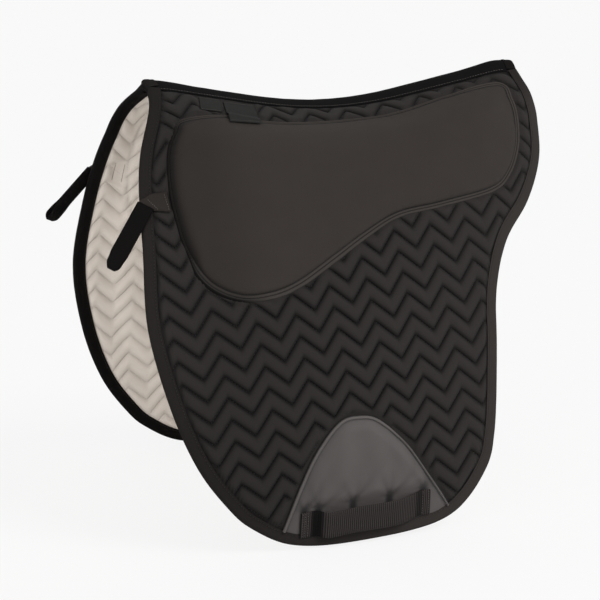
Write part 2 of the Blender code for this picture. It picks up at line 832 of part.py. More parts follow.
def make_girth_patch(side, parent):
    piece = prism("patch", [patch_loop()], SEAT_GAP, PATCH_TOP)
    piece = cut(piece, prism("hem", [HEM_LIMIT], 0, 2 * PATCH_TOP), "INTERSECT")
    bm = open_piece(piece)
    crease_plain(bm, fine=True)
    lay(f"{side}_girth_patch", bm, flap_form(side), own_height, COATED_PATCH, parent)


def make_girth_patch_piping(side, parent):
    line = patch_loop()
    path = inset(line, -(PATCH_PIPING / 2 + EDGE_GAP))
    path = path[distance_to(HEM_LIMIT, path) > PATCH_PIPING]
    lift = SEAT_GAP + PATCH_PIPING / 2
    piece = tube("piping", path, PATCH_PIPING / 2, lift, closed=False)
    lay(f"{side}_girth_patch_piping", piece, flap_form(side), own_height, COATED_PATCH, parent)


def girth_band_rise(along):
    """Lift of the webbing's underside: sewn flat at its ends, raised between them."""
    from_end = np.minimum(along, GIRTH_BAND_LENGTH - along) - GIRTH_BAND_SEWN_END
    sewn = PATCH_TOP + EDGE_GAP
    return sewn + (GIRTH_SLOT_HEIGHT - EDGE_GAP) * smooth_step(from_end / GIRTH_BAND_RISE)


def make_girth_loop(side, parent):
    ramp = GIRTH_BAND_SEWN_END + GIRTH_BAND_RISE * np.linspace(0, 1, 5)
    along = np.concatenate([[0.0], ramp, GIRTH_BAND_LENGTH - ramp[::-1], [GIRTH_BAND_LENGTH]])
    low = girth_band_rise(along)
    under = np.column_stack([along, low])
    over = np.column_stack([along, low + GIRTH_BAND_THICKNESS])[::-1]
    start_x, start_v = pattern_points([GIRTH_BAND_START])[0]
    place = Matrix.Translation((start_x, -start_v, 0)) @ Matrix.Rotation(CHEVRON_TILT, 4, "Z")
    piece = extruded("girth_loop", np.vstack([under, over]), GIRTH_BAND_WIDTH)
    piece.data.transform(place @ Matrix.Rotation(math.radians(90), 4, "X"))
    bm = open_piece(piece)
    crease_plain(bm, fine=True)
    lay(f"{side}_girth_loop", bm, flap_form(side), own_height, BLACK_WEBBING, parent)


def extruded(name, outline, width, holes=()):
    """An outline in local X and Y, made this wide along local Z, half to each side."""
    loops = [outline, *holes]
    return prism(name, [np.column_stack([p[:, 0], -p[:, 1]]) for p in loops], -width / 2, width / 2)


STRAP_LIFT = SEAT_GAP + BINDING_THICKNESS + EDGE_GAP + TAB_THICKNESS / 2
STRAP_ROOT_RADIUS = STRAP_PLY + EDGE_GAP / 2


def strap_frame(side):
    """Where the strap folds, and its directions: along it, away from the flap, across it."""
    x, v = pattern_points([STRAP_ROOT])[0]
    toward = np.array((-math.cos(STRAP_ANGLE), math.sin(STRAP_ANGLE)))
    near = np.array([(x, v), (x, v) + toward * SAMPLE])
    lifts = np.full(2, STRAP_LIFT)
    root, ahead = laid(flap_form(side), near[:, 0], -near[:, 1], lifts)
    above = laid(flap_form(side), near[:1, 0], -near[:1, 1], lifts[:1] + SAMPLE)[0]
    along = Vector(ahead - root).normalized()
    away = Vector(above - root)
    away = (away - along * away.dot(along)).normalized()
    return Vector(root), along, away, along.cross(away)


def make_front_strap(side, parent):
    """Doubled webbing that closes round an eye at its free end."""
    eye_start = STRAP_LENGTH - STRAP_EYE_LENGTH
    cap_start = STRAP_LENGTH - STRAP_PLY - STRAP_CAP
    lengths = np.linspace(eye_start, cap_start, 6)
    gaps = STRAP_EYE / 2 * smooth_step((lengths - eye_start) / (cap_start - eye_start))
    turns = np.linspace(0, math.pi / 2, 5)[1:]
    inner = np.vstack([
        np.column_stack([lengths[1:], gaps[1:]]),
        np.column_stack([cap_start + STRAP_CAP * np.sin(turns), STRAP_EYE / 2 * np.cos(turns)]),
    ])
    reach, bulge = STRAP_CAP + STRAP_PLY, STRAP_EYE / 2 + STRAP_PLY
    root = np.linspace(math.pi, math.pi / 2, 4)
    outer = np.vstack([
        STRAP_ROOT_RADIUS * np.column_stack([np.cos(root), np.sin(root)]),
        np.column_stack([lengths, np.maximum(gaps + STRAP_PLY, STRAP_ROOT_RADIUS)]),
        np.column_stack([cap_start + reach * np.sin(turns), bulge * np.cos(turns)]),
    ])
    outline = np.vstack([outer, (outer * (1, -1))[-2:0:-1]])
    eye = np.vstack([inner, (inner * (1, -1))[-2::-1]])
    piece = extruded("strap", outline, STRAP_WIDTH, [eye])
    root, along, away, across = strap_frame(side)
    frame = Matrix((along, away, across)).transposed().to_4x4()
    piece.data.transform(Matrix.Translation(root) @ frame)
    finish(f"{side}_front_strap", open_piece(piece), BLACK_WEBBING, parent)


def make_strap_tab(side, parent):
    """Folded webbing that holds the strap: sewn over the binding, cut square to the strap."""
    toward = np.array((-math.cos(STRAP_ANGLE), math.sin(STRAP_ANGLE)))
    across = np.array((toward[1], -toward[0]))
    root = pattern_points([STRAP_ROOT])[0] - toward * (STRAP_ROOT_RADIUS + EDGE_GAP)
    end = root + np.array((TAB_REACH, -TAB_WIDTH / 8))
    half = np.array((0, TAB_WIDTH / 2))
    loop = np.array([
        root + across * STRAP_WIDTH / 2, root - across * STRAP_WIDTH / 2,
        end - half, end + half,
    ])
    low = SEAT_GAP + BINDING_THICKNESS + EDGE_GAP
    bm = open_piece(prism("tab", [loop], low, low + TAB_THICKNESS))
    crease_plain(bm, fine=True)
    lay(f"{side}_strap_tab", bm, flap_form(side), own_height, BLACK_WEBBING, parent)


def make_label(name, place, size, turn, parent):
    """A small bare label, sewn on the quilting and over the panel's edge where it reaches it."""
    centre = pattern_points([place])[0]
    corners = np.array([(-1, -1), (1, -1), (1, 1), (-1, 1)]) / 2 * size
    cosine, sine = math.cos(turn), math.sin(turn)
    spin = np.array([(cosine, sine), (-sine, cosine)])
    bm = open_piece(prism("label", [corners @ spin + centre], 0, LABEL_THICKNESS))
    reach = max(size)
    crease(bm, 0, centre[0] + reach / 4 * np.array((-1, 1)))
    crease(bm, 1, -centre[1] + np.linspace(-reach, reach, LABEL_CREASES))
    over_panel = PANEL_TOP + EDGE_GAP - LABEL_LIFT

    def lift(x, v, z):
        reach = distance_to(PANEL, np.column_stack([x, v])) + 3 * PANEL_PIPING
        return z + LABEL_LIFT + over_panel * smooth_step(reach / (3 * PANEL_PIPING))

    lay(name, bm, flap_form(LEFT), lift, LABEL_WEAVE, parent)


def spine_piece(loop, low, high):
    bm = open_piece(prism("tape", [loop], low, high))
    crease(bm, 0, np.linspace(loop[:, 0].min(), loop[:, 0].max(), 11)[1:-1])
    crease(bm, 0, sorted(set(loop[:, 0]))[1:-1])
    crease(bm, 1, TAPE_WIDTH / 2 * np.array(TAPE_CREASES))
    return bm


def spine_tape_loop():
    """The tape's outline: full width between the bindings, narrow ends that run under them."""
    edge = flap_edge_line()
    front, rear = edge[0, 0], edge[-1, 0]
    tuck = BINDING_THICKNESS + EDGE_GAP
    clear = BINDING_WIDTH + EDGE_GAP
    wide, narrow = TAPE_WIDTH / 2, RIDGE_CLEAR - 2 * EDGE_GAP
    return np.array([
        (front + tuck, -narrow), (front + clear, -narrow), (front + clear, -wide),
        (rear - clear, -wide), (rear - clear, -narrow), (rear - tuck, -narrow),
        (rear - tuck, narrow), (rear - clear, narrow), (rear - clear, wide),
        (front + clear, wide), (front + clear, narrow), (front + tuck, narrow),
    ])


def make_spine_tapes():
    loop = spine_tape_loop()
    for name, low, look in (
        ("spine_tape", TAPE_LIFT, BLACK_TAPE),
        ("spine_lining_tape", LINING_TAPE_LIFT, PALE_LINING),
    ):
        bm = spine_piece(loop, low, low + TAPE_THICKNESS)
        lay(name, bm, spine_form(), own_height, look)


def make_arch_bindings():
    edge = flap_edge_line()
    reach = RIDGE_CLEAR - EDGE_GAP
    across = reach * np.array(ARCH_CREASES)
    low = LINING_TAPE_LIFT - SEAT_GAP
    high = TAPE_LIFT + TAPE_THICKNESS + SEAT_GAP
    for name, x, turn in (("front", edge[0, 0], 1), ("rear", edge[-1, 0], -1)):
        path = np.column_stack([np.full(len(across), x), across])[::turn]
        piece = swept("arch", path, folded_tape(low, high))
        lay(f"{name}_arch_binding", piece, spine_form(), own_height, BLACK_TAPE)


def make_flap(side):
    hinge = empty_at(f"{side}_flap_fold", HINGE)
    make_quilted_cover(side, hinge)
    make_wadding(side, hinge)
    make_lining(side, hinge)
    make_edge_binding(side, hinge)
    make_panel_foam(side, hinge)
    make_panel_cover(side, hinge)
    make_panel_piping(side, hinge)
    make_girth_patch(side, hinge)
    make_girth_patch_piping(side, hinge)
    make_girth_loop(side, hinge)
    make_strap_tab(side, hinge)
    strap_fold = empty_at(f"{side}_strap_fold", strap_frame(side)[0], hinge)
    make_front_strap(side, strap_fold)
    return hinge


def main():
    make_spine_tapes()
    make_arch_bindings()
    left_hinge = make_flap(LEFT)
    make_flap(RIGHT)
    make_label("care_label", CARE_LABEL_PLACE, CARE_LABEL_SIZE, CARE_LABEL_TURN, left_hinge)
    make_label("maker_label_blank", MAKER_LABEL_PLACE, MAKER_LABEL_SIZE, MAKER_LABEL_TURN, left_hinge)
    for obj in PAD.objects:
        if obj.type == "MESH":
            print(obj.name, len(obj.data.polygons), "triangles")


main()
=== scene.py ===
"""Icelandic saddle pad in a plain studio: quilted flaps, saddle panels, tapes, webbing and labels.

The cloth is laid on the form of the CAD pieces, with its ridge a little corrected. On the flat
pattern x runs along the horse and v down the cloth, from the level of the spine's ends. Lift is the
height above the quilting's stitch lines. All sizes are in metres.
"""

import math

import bpy
import numpy as np
from mathutils import Matrix, Vector, geometry, noise


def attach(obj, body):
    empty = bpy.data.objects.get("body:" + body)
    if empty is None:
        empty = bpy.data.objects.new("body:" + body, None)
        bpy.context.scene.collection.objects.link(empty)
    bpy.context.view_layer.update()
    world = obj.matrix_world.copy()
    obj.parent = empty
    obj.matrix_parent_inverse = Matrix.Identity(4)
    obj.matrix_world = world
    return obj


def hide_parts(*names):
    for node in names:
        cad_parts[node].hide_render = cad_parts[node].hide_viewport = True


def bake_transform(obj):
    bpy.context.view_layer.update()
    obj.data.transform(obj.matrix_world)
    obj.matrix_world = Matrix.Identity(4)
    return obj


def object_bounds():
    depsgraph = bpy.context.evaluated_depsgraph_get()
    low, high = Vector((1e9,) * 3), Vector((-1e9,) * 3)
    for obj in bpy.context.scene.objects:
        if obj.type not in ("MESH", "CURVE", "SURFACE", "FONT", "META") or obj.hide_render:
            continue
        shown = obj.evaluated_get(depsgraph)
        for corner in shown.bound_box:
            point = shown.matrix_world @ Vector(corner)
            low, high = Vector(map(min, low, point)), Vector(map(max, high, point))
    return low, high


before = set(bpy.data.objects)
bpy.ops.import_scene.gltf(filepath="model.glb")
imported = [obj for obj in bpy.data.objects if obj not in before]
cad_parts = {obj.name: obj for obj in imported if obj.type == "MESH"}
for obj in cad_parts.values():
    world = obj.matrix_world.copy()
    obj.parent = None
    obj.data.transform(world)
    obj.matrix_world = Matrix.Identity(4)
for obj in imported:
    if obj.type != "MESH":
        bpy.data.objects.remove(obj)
cad_box = [list(corner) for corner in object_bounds()]

# Sizes of the pad. The CAD pieces share most of them, and the photo corrects some here
SPINE_LENGTH = 0.470
SPINE_DIP = 0.035
FLAP_DROP = 0.579
HEM_SPREAD = 0.444
COVER_THICKNESS = 0.0012
WADDING_THICKNESS = 0.0066
WADDING_EDGE_THICKNESS = 0.0012
LINING_THICKNESS = 0.0012
PLY_GAP = 0.0009
SEAT_GAP = 0.0008
EDGE_GAP = 0.0005
CHEVRON_WIDTH = 0.0496
CHEVRON_ROW = 0.0258
CHEVRON_HEIGHT = 0.0258
CHEVRON_STEEP_SHARE = 0.51
CHEVRON_TILT = math.radians(6.0)
CHEVRON_BOW = 0.35
BAND_TILT = math.radians(3.6)
BAND_LEAN = math.radians(-4.0)
CROWN_FADE = 0.014
RIDGE_CLEAR = 0.015
RIDGE_ROUNDING = 0.003
TAPE_WIDTH = 0.040
TAPE_THICKNESS = 0.0012
BINDING_WIDTH = 0.0145
BINDING_THICKNESS = 0.0012
PRESSED_WIDTH = 0.038
PANEL_FOAM_THICKNESS = 0.0055
PANEL_COVER_THICKNESS = 0.0012
PANEL_PIPING = 0.0036
PATCH_THICKNESS = 0.0012
PATCH_PIPING = 0.0040
GIRTH_BAND_WIDTH = 0.031
GIRTH_BAND_THICKNESS = 0.0014
GIRTH_BAND_LENGTH = 0.168
GIRTH_BAND_SEWN_END = 0.018
GIRTH_BAND_RISE = 0.016
GIRTH_SLOT_HEIGHT = 0.0085
STRAP_WIDTH = 0.021
STRAP_LENGTH = 0.087
STRAP_PLY = 0.0015
STRAP_EYE_LENGTH = 0.034
STRAP_CAP = 0.0068
STRAP_ANGLE = math.radians(52.5)
TAB_THICKNESS = 0.0028
LABEL_THICKNESS = 0.0006
LABEL_LIFT = 0.0011
SECTION_DEPTHS = np.array((0.0, 0.052, 0.138, 0.276, 0.484, 0.725, 1.0))
FRONT_WIDTHS = np.array((0.0, 0.239, 0.405, 0.622, 0.829, 0.950, 1.0))
MIDDLE_WIDTHS = np.array((0.0, 0.306, 0.523, 0.676, 0.856, 0.968, 1.0))
REAR_WIDTHS = np.array((0.0, 0.162, 0.288, 0.410, 0.586, 0.779, 0.946))
DIP_SHARPNESS = 1.7
DEEPEST = 1.25
HALF_LENGTH = SPINE_LENGTH / 2
PATTERN_HEIGHT = SPINE_DIP + FLAP_DROP
FLAP_EDGE = (
    (-1.013, 0.0), (-1.034, 0.058), (-1.068, 0.099), (-1.136, 0.168), (-1.179, 0.246),
    (-1.209, 0.365), (-1.230, 0.516), (-1.153, 0.674), (-1.034, 0.800), (-0.885, 0.891),
    (-0.766, 0.940), (-0.574, 0.985), (-0.302, 1.000), (0.098, 0.987), (0.353, 0.950),
    (0.536, 0.866), (0.604, 0.785), (0.655, 0.625), (0.689, 0.505), (0.787, 0.401),
    (0.957, 0.313), (1.064, 0.226), (1.090, 0.142), (1.078, 0.090), (1.052, 0.050),
    (1.026, 0.0),
)
PANEL_EDGE = (
    (-0.949, 0.148), (-0.898, 0.129), (-0.668, 0.125), (-0.506, 0.142), (-0.272, 0.150),
    (0.106, 0.142), (0.294, 0.132), (0.591, 0.096), (0.885, 0.071), (0.922, 0.104),
    (0.932, 0.143), (0.911, 0.197), (0.838, 0.257), (0.715, 0.298), (0.396, 0.337),
    (0.145, 0.360), (-0.051, 0.397), (-0.251, 0.441), (-0.443, 0.479), (-0.596, 0.493),
    (-0.757, 0.487), (-0.902, 0.450), (-0.991, 0.383), (-1.021, 0.305), (-1.021, 0.243),
    (-0.996, 0.182),
)
PATCH_ARCH = (
    (-0.700, 1.020), (-0.613, 0.951), (-0.519, 0.873), (-0.422, 0.809), (-0.294, 0.758),
    (-0.179, 0.750), (-0.073, 0.761), (0.073, 0.809), (0.180, 0.864), (0.302, 0.932),
    (0.400, 1.000),
)
GIRTH_BAND_START = (-0.519, 0.947)
STRAP_ROOT = (-1.164, 0.284)
LABELS = {
    "care_label": ((-0.719, 0.0825), (0.0270, 0.0275), math.radians(12.0)),
    "maker_label_blank": ((-0.566, 0.1130), (0.0400, 0.0460), math.radians(8.0)),
}

# Sizes of what only shows here
COVER_CROWN = 0.0042
LINING_CROWN = 0.0034
GROOVE_WIDTH = 0.0028
# How far the painted shade along the quilting's stitch lines reaches
SHADE_WIDTH = 0.0044
RIDGE_CUT = 0.001
# Way along the crest, and how much higher it lies than the even curve
RIDGE_OFFSETS = np.array([
    (-0.235, 0.0005), (-0.210, -0.0007), (-0.180, -0.0024), (-0.120, -0.0015), (-0.030, -0.0014),
    (0.040, -0.0002), (0.100, 0.0009), (0.143, 0.0), (0.175, -0.0012), (0.195, -0.0002),
    (0.215, 0.0014), (0.228, 0.0004), (0.240, -0.0026),
])
RIDGE_REACH = 0.045
ARCH_BOW = 0.004
STRAP_EYE_SHOWN = 0.0060
PUCKER = 0.00035
PANEL_ROLL = 0.0055
FRONT_ROLL = 0.0100
PANEL_DOME = 0.0012
PATCH_BULGE = 0.0052
PATCH_TUCK = 0.0015
RIB_PITCH = 0.0026
RIB_HEIGHT = 0.00055
STITCH_PITCH = 0.0042
STITCH_LENGTH = 0.0030
THREAD = 0.00032
BINDING_SEAM = 0.0122
TAPE_SEAM = 0.0175
PANEL_TOP = 2.5 * SEAT_GAP + PANEL_FOAM_THICKNESS + EDGE_GAP + PANEL_COVER_THICKNESS
FLANGE_SEAM = 0.0019
PANEL_FLANGE_WIDTH = 0.0056
PANEL_LIP = 0.0008
# Distance out from the panel's edge, and lift, of the flat piped flange that is sewn round it
PANEL_FLANGE = np.array([
    (0.0058, 0.0003), (0.0056, 0.0010), (0.0051, 0.0016), (0.0041, 0.0019), (0.0031, 0.0017),
    (0.0024, 0.0010), (0.0017, 0.0016), (0.0009, 0.0019), (0.0001, 0.0017), (-0.0007, 0.0009),
    (-0.0007, 0.0003),
])
# Painted shade across the flange's profile: darker at its outer edge, in its stitched groove and
# where it meets the panel
FLANGE_SHADE = np.array((0.4, 0.6, 0.9, 1.0, 0.9, 0.25, 0.9, 1.0, 0.8, 0.2, 0.2))
# Where the girth patch is gathered, and where the webbing is sewn down, along the webbing
GATHERS = (0.004, 0.022, 0.0665, 0.114, 0.159)
BAND_SEAMS = (0.0020, 0.0050, 0.0085, GIRTH_BAND_LENGTH - 0.0105, GIRTH_BAND_LENGTH - 0.0025)
# Way along the webbing, and how far it hangs there below its straight centre line
BAND_SHIFTS = np.array([
    (0.000, 0.0015), (0.018, 0.0020), (0.034, 0.0062), (0.070, 0.0056), (0.106, 0.0064),
    (0.125, 0.0056), (0.135, 0.0044), (0.1455, 0.0024), (0.156, -0.0007), (0.168, -0.0002),
])
# The creases at each gather: their turns from straight up, and how far they run
CREASES = ((-1.25, 0.011), (-0.55, 0.020), (0.1, 0.014), (0.75, 0.024), (1.3, 0.010))
DEEP_GATHER, SHALLOW_GATHER, CREASE_DEPTH = 0.0034, 0.0022, 0.60
# How much darker painted shade makes the cloth in the patch's gathers and their creases, and the
# painted shadow along the binding's inner edge: 0 is as dyed, 1 is black
GATHER_DARK, CREASE_DARK, EDGE_SHADOW_DARK = 0.97, 0.62, 0.95
# How far the painted shadow along the binding's inner edge reaches
EDGE_SHADOW_WIDTH = 0.0023
# The quilting's painted shade at its front end, as a share of the rest, and how much paler its
# painted groove shade is towards the rear
FRONT_PAINTED_SHADE, REAR_SHADE_FADE = 0.82, 0.30
# Where painted shadow darkens each end of the webbing's loop at its fold, as a distance from that
# end, and how widely
FRONT_FOLD, FRONT_FOLD_WIDTH = 0.0195, 0.0072
REAR_FOLD, REAR_FOLD_WIDTH = 0.0150, 0.0050

# The camera was fitted to the photo, whose frame is 600 pixels wide
CAMERA_AZIMUTH, CAMERA_ELEVATION, CAMERA_DISTANCE = -20.0, 14.30, 3.2144
CAMERA_TARGET = (-0.0411, 0.0, -0.2424)
FOCAL_SHARE = 2571.5 / 600
# Name, azimuth, elevation, strength and spread of the two wide lamps
SUNS = (("key", 38.0, 48.0, 0.85, 24.0), ("fill", -55.0, 35.0, 0.20, 50.0))
OPENING_LAMP, OPENING_AIM = Vector((-0.95, -0.64, -0.05)), Vector((-0.22, 0.20, -0.25))
REAR_LAMP = (0.75, -0.95, 0.15)
OPENING_POWER, OPENING_SPREAD, REAR_POWER = 17.0, 38.0, 8.0
AMBIENT = 0.62
FLOOR_GLOW = 0.84
FLOOR_REACH = 14.0


# The form of the back


def dip(x):
    """How far the crest lies below the spine's ends."""
    share = np.clip(np.abs(x) / HALF_LENGTH, 0, 1)
    return SPINE_DIP * (1 - share**2) ** DIP_SHARPNESS


def smooth_step(share):
    share = np.clip(share, 0, 1)
    return share**2 * (3 - 2 * share)


def ramp(value, start, width):
    """A smooth climb from 0 at the start to 1 a width further on, or back for a negative width."""
    return smooth_step((value - start) / width)


def bell(distance, width):
    return np.exp(-((distance / width) ** 2))


def section_width(depth, widths):
    knots = SECTION_DEPTHS * FLAP_DROP
    values = widths * HEM_SPREAD / 2
    slopes = np.gradient(values, knots)
    slopes[0] = values[1] / knots[1]
    cell = np.clip(np.searchsorted(knots, depth, side="right") - 1, 0, len(knots) - 2)
    span = knots[cell + 1] - knots[cell]
    t = np.clip((depth - knots[cell]) / span, 0, DEEPEST)
    start = (2 * t**3 - 3 * t**2 + 1) * values[cell] + (t**3 - 2 * t**2 + t) * span * slopes[cell]
    end = (3 * t**2 - 2 * t**3) * values[cell + 1] + (t**3 - t**2) * span * slopes[cell + 1]
    return start + end


def half_width(x, depth):
    t = x / HALF_LENGTH
    front = section_width(depth, FRONT_WIDTHS)
    middle = section_width(depth, MIDDLE_WIDTHS)
    rear = section_width(depth, REAR_WIDTHS)
    return middle + (rear - front) / 2 * t + (front + rear - 2 * middle) / 2 * t**2


def depth_down(x, along):
    """Depth below the crest of points this far down the cloth from it, for columns of points."""
    depths = np.linspace(0, DEEPEST * FLAP_DROP, 601)
    widths = half_width(x[:, None], depths[None, :])
    steps = np.hypot(np.diff(widths, axis=1), np.diff(depths)[None, :])
    lengths = np.hstack([np.zeros((len(x), 1)), np.cumsum(steps, axis=1)])
    return np.array([np.interp(along, row, depths) for row in lengths])


LINING_EDGE_LIFT = -(
    COVER_THICKNESS + PLY_GAP + WADDING_EDGE_THICKNESS + PLY_GAP + LINING_THICKNESS
)
LINING_TAPE_LIFT = LINING_EDGE_LIFT - SEAT_GAP - TAPE_THICKNESS
BINDING_TOP = 0.0004
BINDING_MIDDLE = (LINING_EDGE_LIFT + BINDING_TOP) / 2
FORM_X = np.arange(-0.34, 0.3201, 0.002)
FORM_S = np.arange(-0.03, 0.7201, 0.001)


def make_form():
    """Points and outward normals of the right side, on a grid of x and way from the crest."""
    depth = depth_down(FORM_X, np.abs(FORM_S))
    edge = depth_down(FORM_X, np.array([TAPE_WIDTH / 2]))
    lift_off = np.hypot(edge, RIDGE_ROUNDING) - edge
    share = np.abs(FORM_S)[None, :] / (TAPE_WIDTH / 2)
    rounded = edge * (2 * share**2 - share**3) + RIDGE_CUT * (1 - share) ** 2 * (1 + 2 * share)
    near_ridge = np.clip(1 - (FORM_S / RIDGE_REACH) ** 2, 0, None) ** 2
    offset = np.interp(FORM_X, RIDGE_OFFSETS[:, 0], RIDGE_OFFSETS[:, 1])
    blur = np.exp(-((np.arange(-8, 9) / 3.0) ** 2) / 2)
    offset = np.convolve(np.pad(offset, 8, mode="edge"), blur / blur.sum(), mode="valid")
    drop = np.where(share < 1, rounded, depth)
    drop = drop - offset[:, None] * near_ridge
    middle = np.argmin(np.abs(FORM_X))
    crest = RIDGE_ROUNDING - lift_off[middle, 0] - LINING_TAPE_LIFT
    points = np.empty(depth.shape + (3,))
    points[..., 0] = FORM_X[:, None]
    points[..., 1] = np.sign(FORM_S) * half_width(FORM_X[:, None], depth)
    points[..., 2] = crest + SPINE_DIP - dip(FORM_X)[:, None] - drop
    normals = np.cross(np.gradient(points, axis=0), np.gradient(points, axis=1))
    normals /= np.linalg.norm(normals, axis=2)[..., None]
    return points, normals


FORM_POINTS, FORM_NORMALS = make_form()


def laid(side, x, v, lift):
    """Points of the flat pattern laid on the form and raised along its outward normal."""
    place = [
        np.clip((x - FORM_X[0]) / (FORM_X[1] - FORM_X[0]), 0, len(FORM_X) - 1.001),
        np.clip((v - dip(x) - FORM_S[0]) / (FORM_S[1] - FORM_S[0]), 0, len(FORM_S) - 1.001),
    ]
    i, j = (p.astype(int) for p in place)
    f, g = ((p - p.astype(int))[..., None] for p in place)

    def read(table):
        near = table[i, j] * (1 - g) + table[i, j + 1] * g
        far = table[i + 1, j] * (1 - g) + table[i + 1, j + 1] * g
        return near * (1 - f) + far * f

    normal = read(FORM_NORMALS)
    normal /= np.linalg.norm(normal, axis=-1)[..., None]
    points = read(FORM_POINTS) + normal * np.asarray(lift)[..., None]
    if side == "left":
        points[..., 1] *= -1
    return points


# Outlines on the flat pattern, as arrays of (x, v)


def pattern_points(shares):
    return np.array([(x * HALF_LENGTH, v * PATTERN_HEIGHT) for x, v in shares])


def smooth_line(points, closed, steps, before=None, after=None):
    """A smooth line through the points. before and after steer its two ends."""
    count = len(points)
    line = []
    for i in range(count if closed else count - 1):
        if closed:
            a, b, c, d = (points[(i + k) % count] for k in (-1, 0, 1, 2))
        else:
            b, c = points[i], points[i + 1]
            a = points[i - 1] if i else (2 * b - c if before is None else before)
            last = 2 * c - b if after is None else after
            d = points[i + 2] if i + 2 < count else last
        for t in np.arange(steps) / steps:
            line.append(
                0.5 * (2 * b + (c - a) * t + (2 * a - 5 * b + 4 * c - d) * t**2
                       + (3 * b - a - 3 * c + d) * t**3)
            )
    if not closed:
        line.append(points[-1])
    return np.array(line)


def resampled(line, step, closed=False):
    """The line with points an even step apart."""
    if closed:
        line = np.vstack([line, line[:1]])
    lengths = np.concatenate([[0], np.cumsum(np.linalg.norm(np.diff(line, axis=0), axis=1))])
    count = max(2, round(lengths[-1] / step))
    at = np.linspace(0, lengths[-1], count + 1)
    even = np.column_stack([np.interp(at, lengths, line[:, k]) for k in range(2)])
    return even[:-1] if closed else even


def inset(loop, distance):
    """The outline moved inward, or outward for a negative distance."""
    before = loop - np.roll(loop, 1, axis=0)
    after = np.roll(loop, -1, axis=0) - loop
    before /= np.linalg.norm(before, axis=1)[:, None]
    after /= np.linalg.norm(after, axis=1)[:, None]
    inward = np.column_stack([-(before + after)[:, 1], (before + after)[:, 0]])
    inward /= np.linalg.norm(inward, axis=1)[:, None]
    area = np.sum(loop[:, 0] * np.roll(loop[:, 1], -1) - np.roll(loop[:, 0], -1) * loop[:, 1])
    return loop + inward * distance * (1 if area > 0 else -1)


def distance_to(loop, points):
    """Distance of points to a closed outline, negative outside it."""
    start, end = loop, np.roll(loop, -1, axis=0)
    run = end - start
    height = np.where(run[:, 1] == 0, 1, run[:, 1])
    found = []
    for some in np.array_split(points, 1 + len(points) // 4000):
        offset = some[:, None, :] - start[None]
        share = np.clip((offset * run).sum(2) / (run**2).sum(1), 0, 1)
        nearest = np.linalg.norm(offset - share[..., None] * run, axis=2).min(1)
        rises = (start[:, 1] > some[:, None, 1]) != (end[:, 1] > some[:, None, 1])
        crossing = start[:, 0] + (some[:, None, 1] - start[:, 1]) / height * run[:, 0]
        inside = (rises & (some[:, None, 0] < crossing)).sum(1) % 2 == 1
        found.append(np.where(inside, nearest, -nearest))
    return np.concatenate(found)


def edge_path():
    """The bound edge from the crest at the front, round the hem, to the crest at the rear."""
    points = pattern_points(FLAP_EDGE)
    mirror = np.array((1, -1))
    line = smooth_line(points, False, 8, points[1] * mirror, points[-2] * mirror)
    return resampled(line, 0.004)


EDGE = edge_path()


def flap_outline(clear):
    """The outline of a flap that stops this far from the crest."""
    x = np.linspace(0.235, -0.235, 41)
    edge = EDGE[EDGE[:, 1] - dip(EDGE[:, 0]) > clear]
    return np.vstack([edge, np.column_stack([x, dip(x) + clear])])


FLAP = flap_outline(RIDGE_CLEAR)
SHOWN = flap_outline(TAPE_WIDTH / 2 - BINDING_WIDTH + 0.001)
PANEL = resampled(smooth_line(pattern_points(PANEL_EDGE), True, 8), 0.004, closed=True)
PATCH_LINE = resampled(smooth_line(pattern_points(PATCH_ARCH), False, 8), 0.003)
BAND_START = pattern_points([GIRTH_BAND_START])[0]
BAND_ALONG = np.array((math.cos(BAND_TILT), -math.sin(BAND_TILT)))
BAND_DOWN = np.array((math.sin(BAND_LEAN), math.cos(BAND_LEAN)))


def label_loop(place, size, turn):
    centre = pattern_points([place])[0]
    corners = np.array([(-1, -1), (1, -1), (1, 1), (-1, 1)]) / 2 * size
    cosine, sine = math.cos(turn), math.sin(turn)
    return corners @ np.array([(cosine, sine), (-sine, cosine)]) + centre


TAB = np.array([
    (-0.2645, 0.1812), (-0.2800, 0.1664), (-0.2640, 0.1603), (-0.2470, 0.1622), (-0.2455, 0.1868),
])
BAR_TACKS = np.array([
    ((-0.2478, 0.1637), (-0.2496, 0.1915)), ((-0.2350, 0.1701), (-0.2362, 0.1986)),
])
TACKED = np.array([(-0.2505, 0.1605), (-0.2325, 0.1675), (-0.2340, 0.2015), (-0.2520, 0.1945)])
PANEL_SEAM = inset(PANEL, 0.0095)
LABEL_LOOPS = {name: label_loop(*facts) for name, facts in LABELS.items()}


# The chevron pattern: a runs along its rows and b down its columns

GRID_START = np.array((-1.029 * HALF_LENGTH, 0.4725 * PATTERN_HEIGHT))


def row_drift(x, v):
    """How far the sewn rows lie below their even places."""
    x = np.maximum(x, -0.285)
    front = -0.01469 * np.exp(-(x + 0.28) / 0.03)
    return front - 0.00209 + 0.00255 * x - 0.04552 * x**2 - 0.01271 * v - 0.09695 * x * v


def far_shift(x, v):
    """How far the far flap's quilting lies from the near one's, along its rows and down."""
    x = np.clip(x, -0.27, -0.17)
    down = -0.01957 + 0.06110 * x + 0.15803 * v - 0.20502 * v**2
    return 0.04465 + 0.02636 * x - 0.09908 * v, down


def to_pattern(side, x, v):
    from_x = x - GRID_START[0]
    from_v = v - CHEVRON_BOW * dip(x) - row_drift(x, v) - GRID_START[1]
    cosine, sine = math.cos(CHEVRON_TILT), math.sin(CHEVRON_TILT)
    a, b = from_x * cosine - from_v * sine, from_x * sine + from_v * cosine
    if side == "right":
        along, down = far_shift(x, v)
        return a - along, b - down
    return a, b


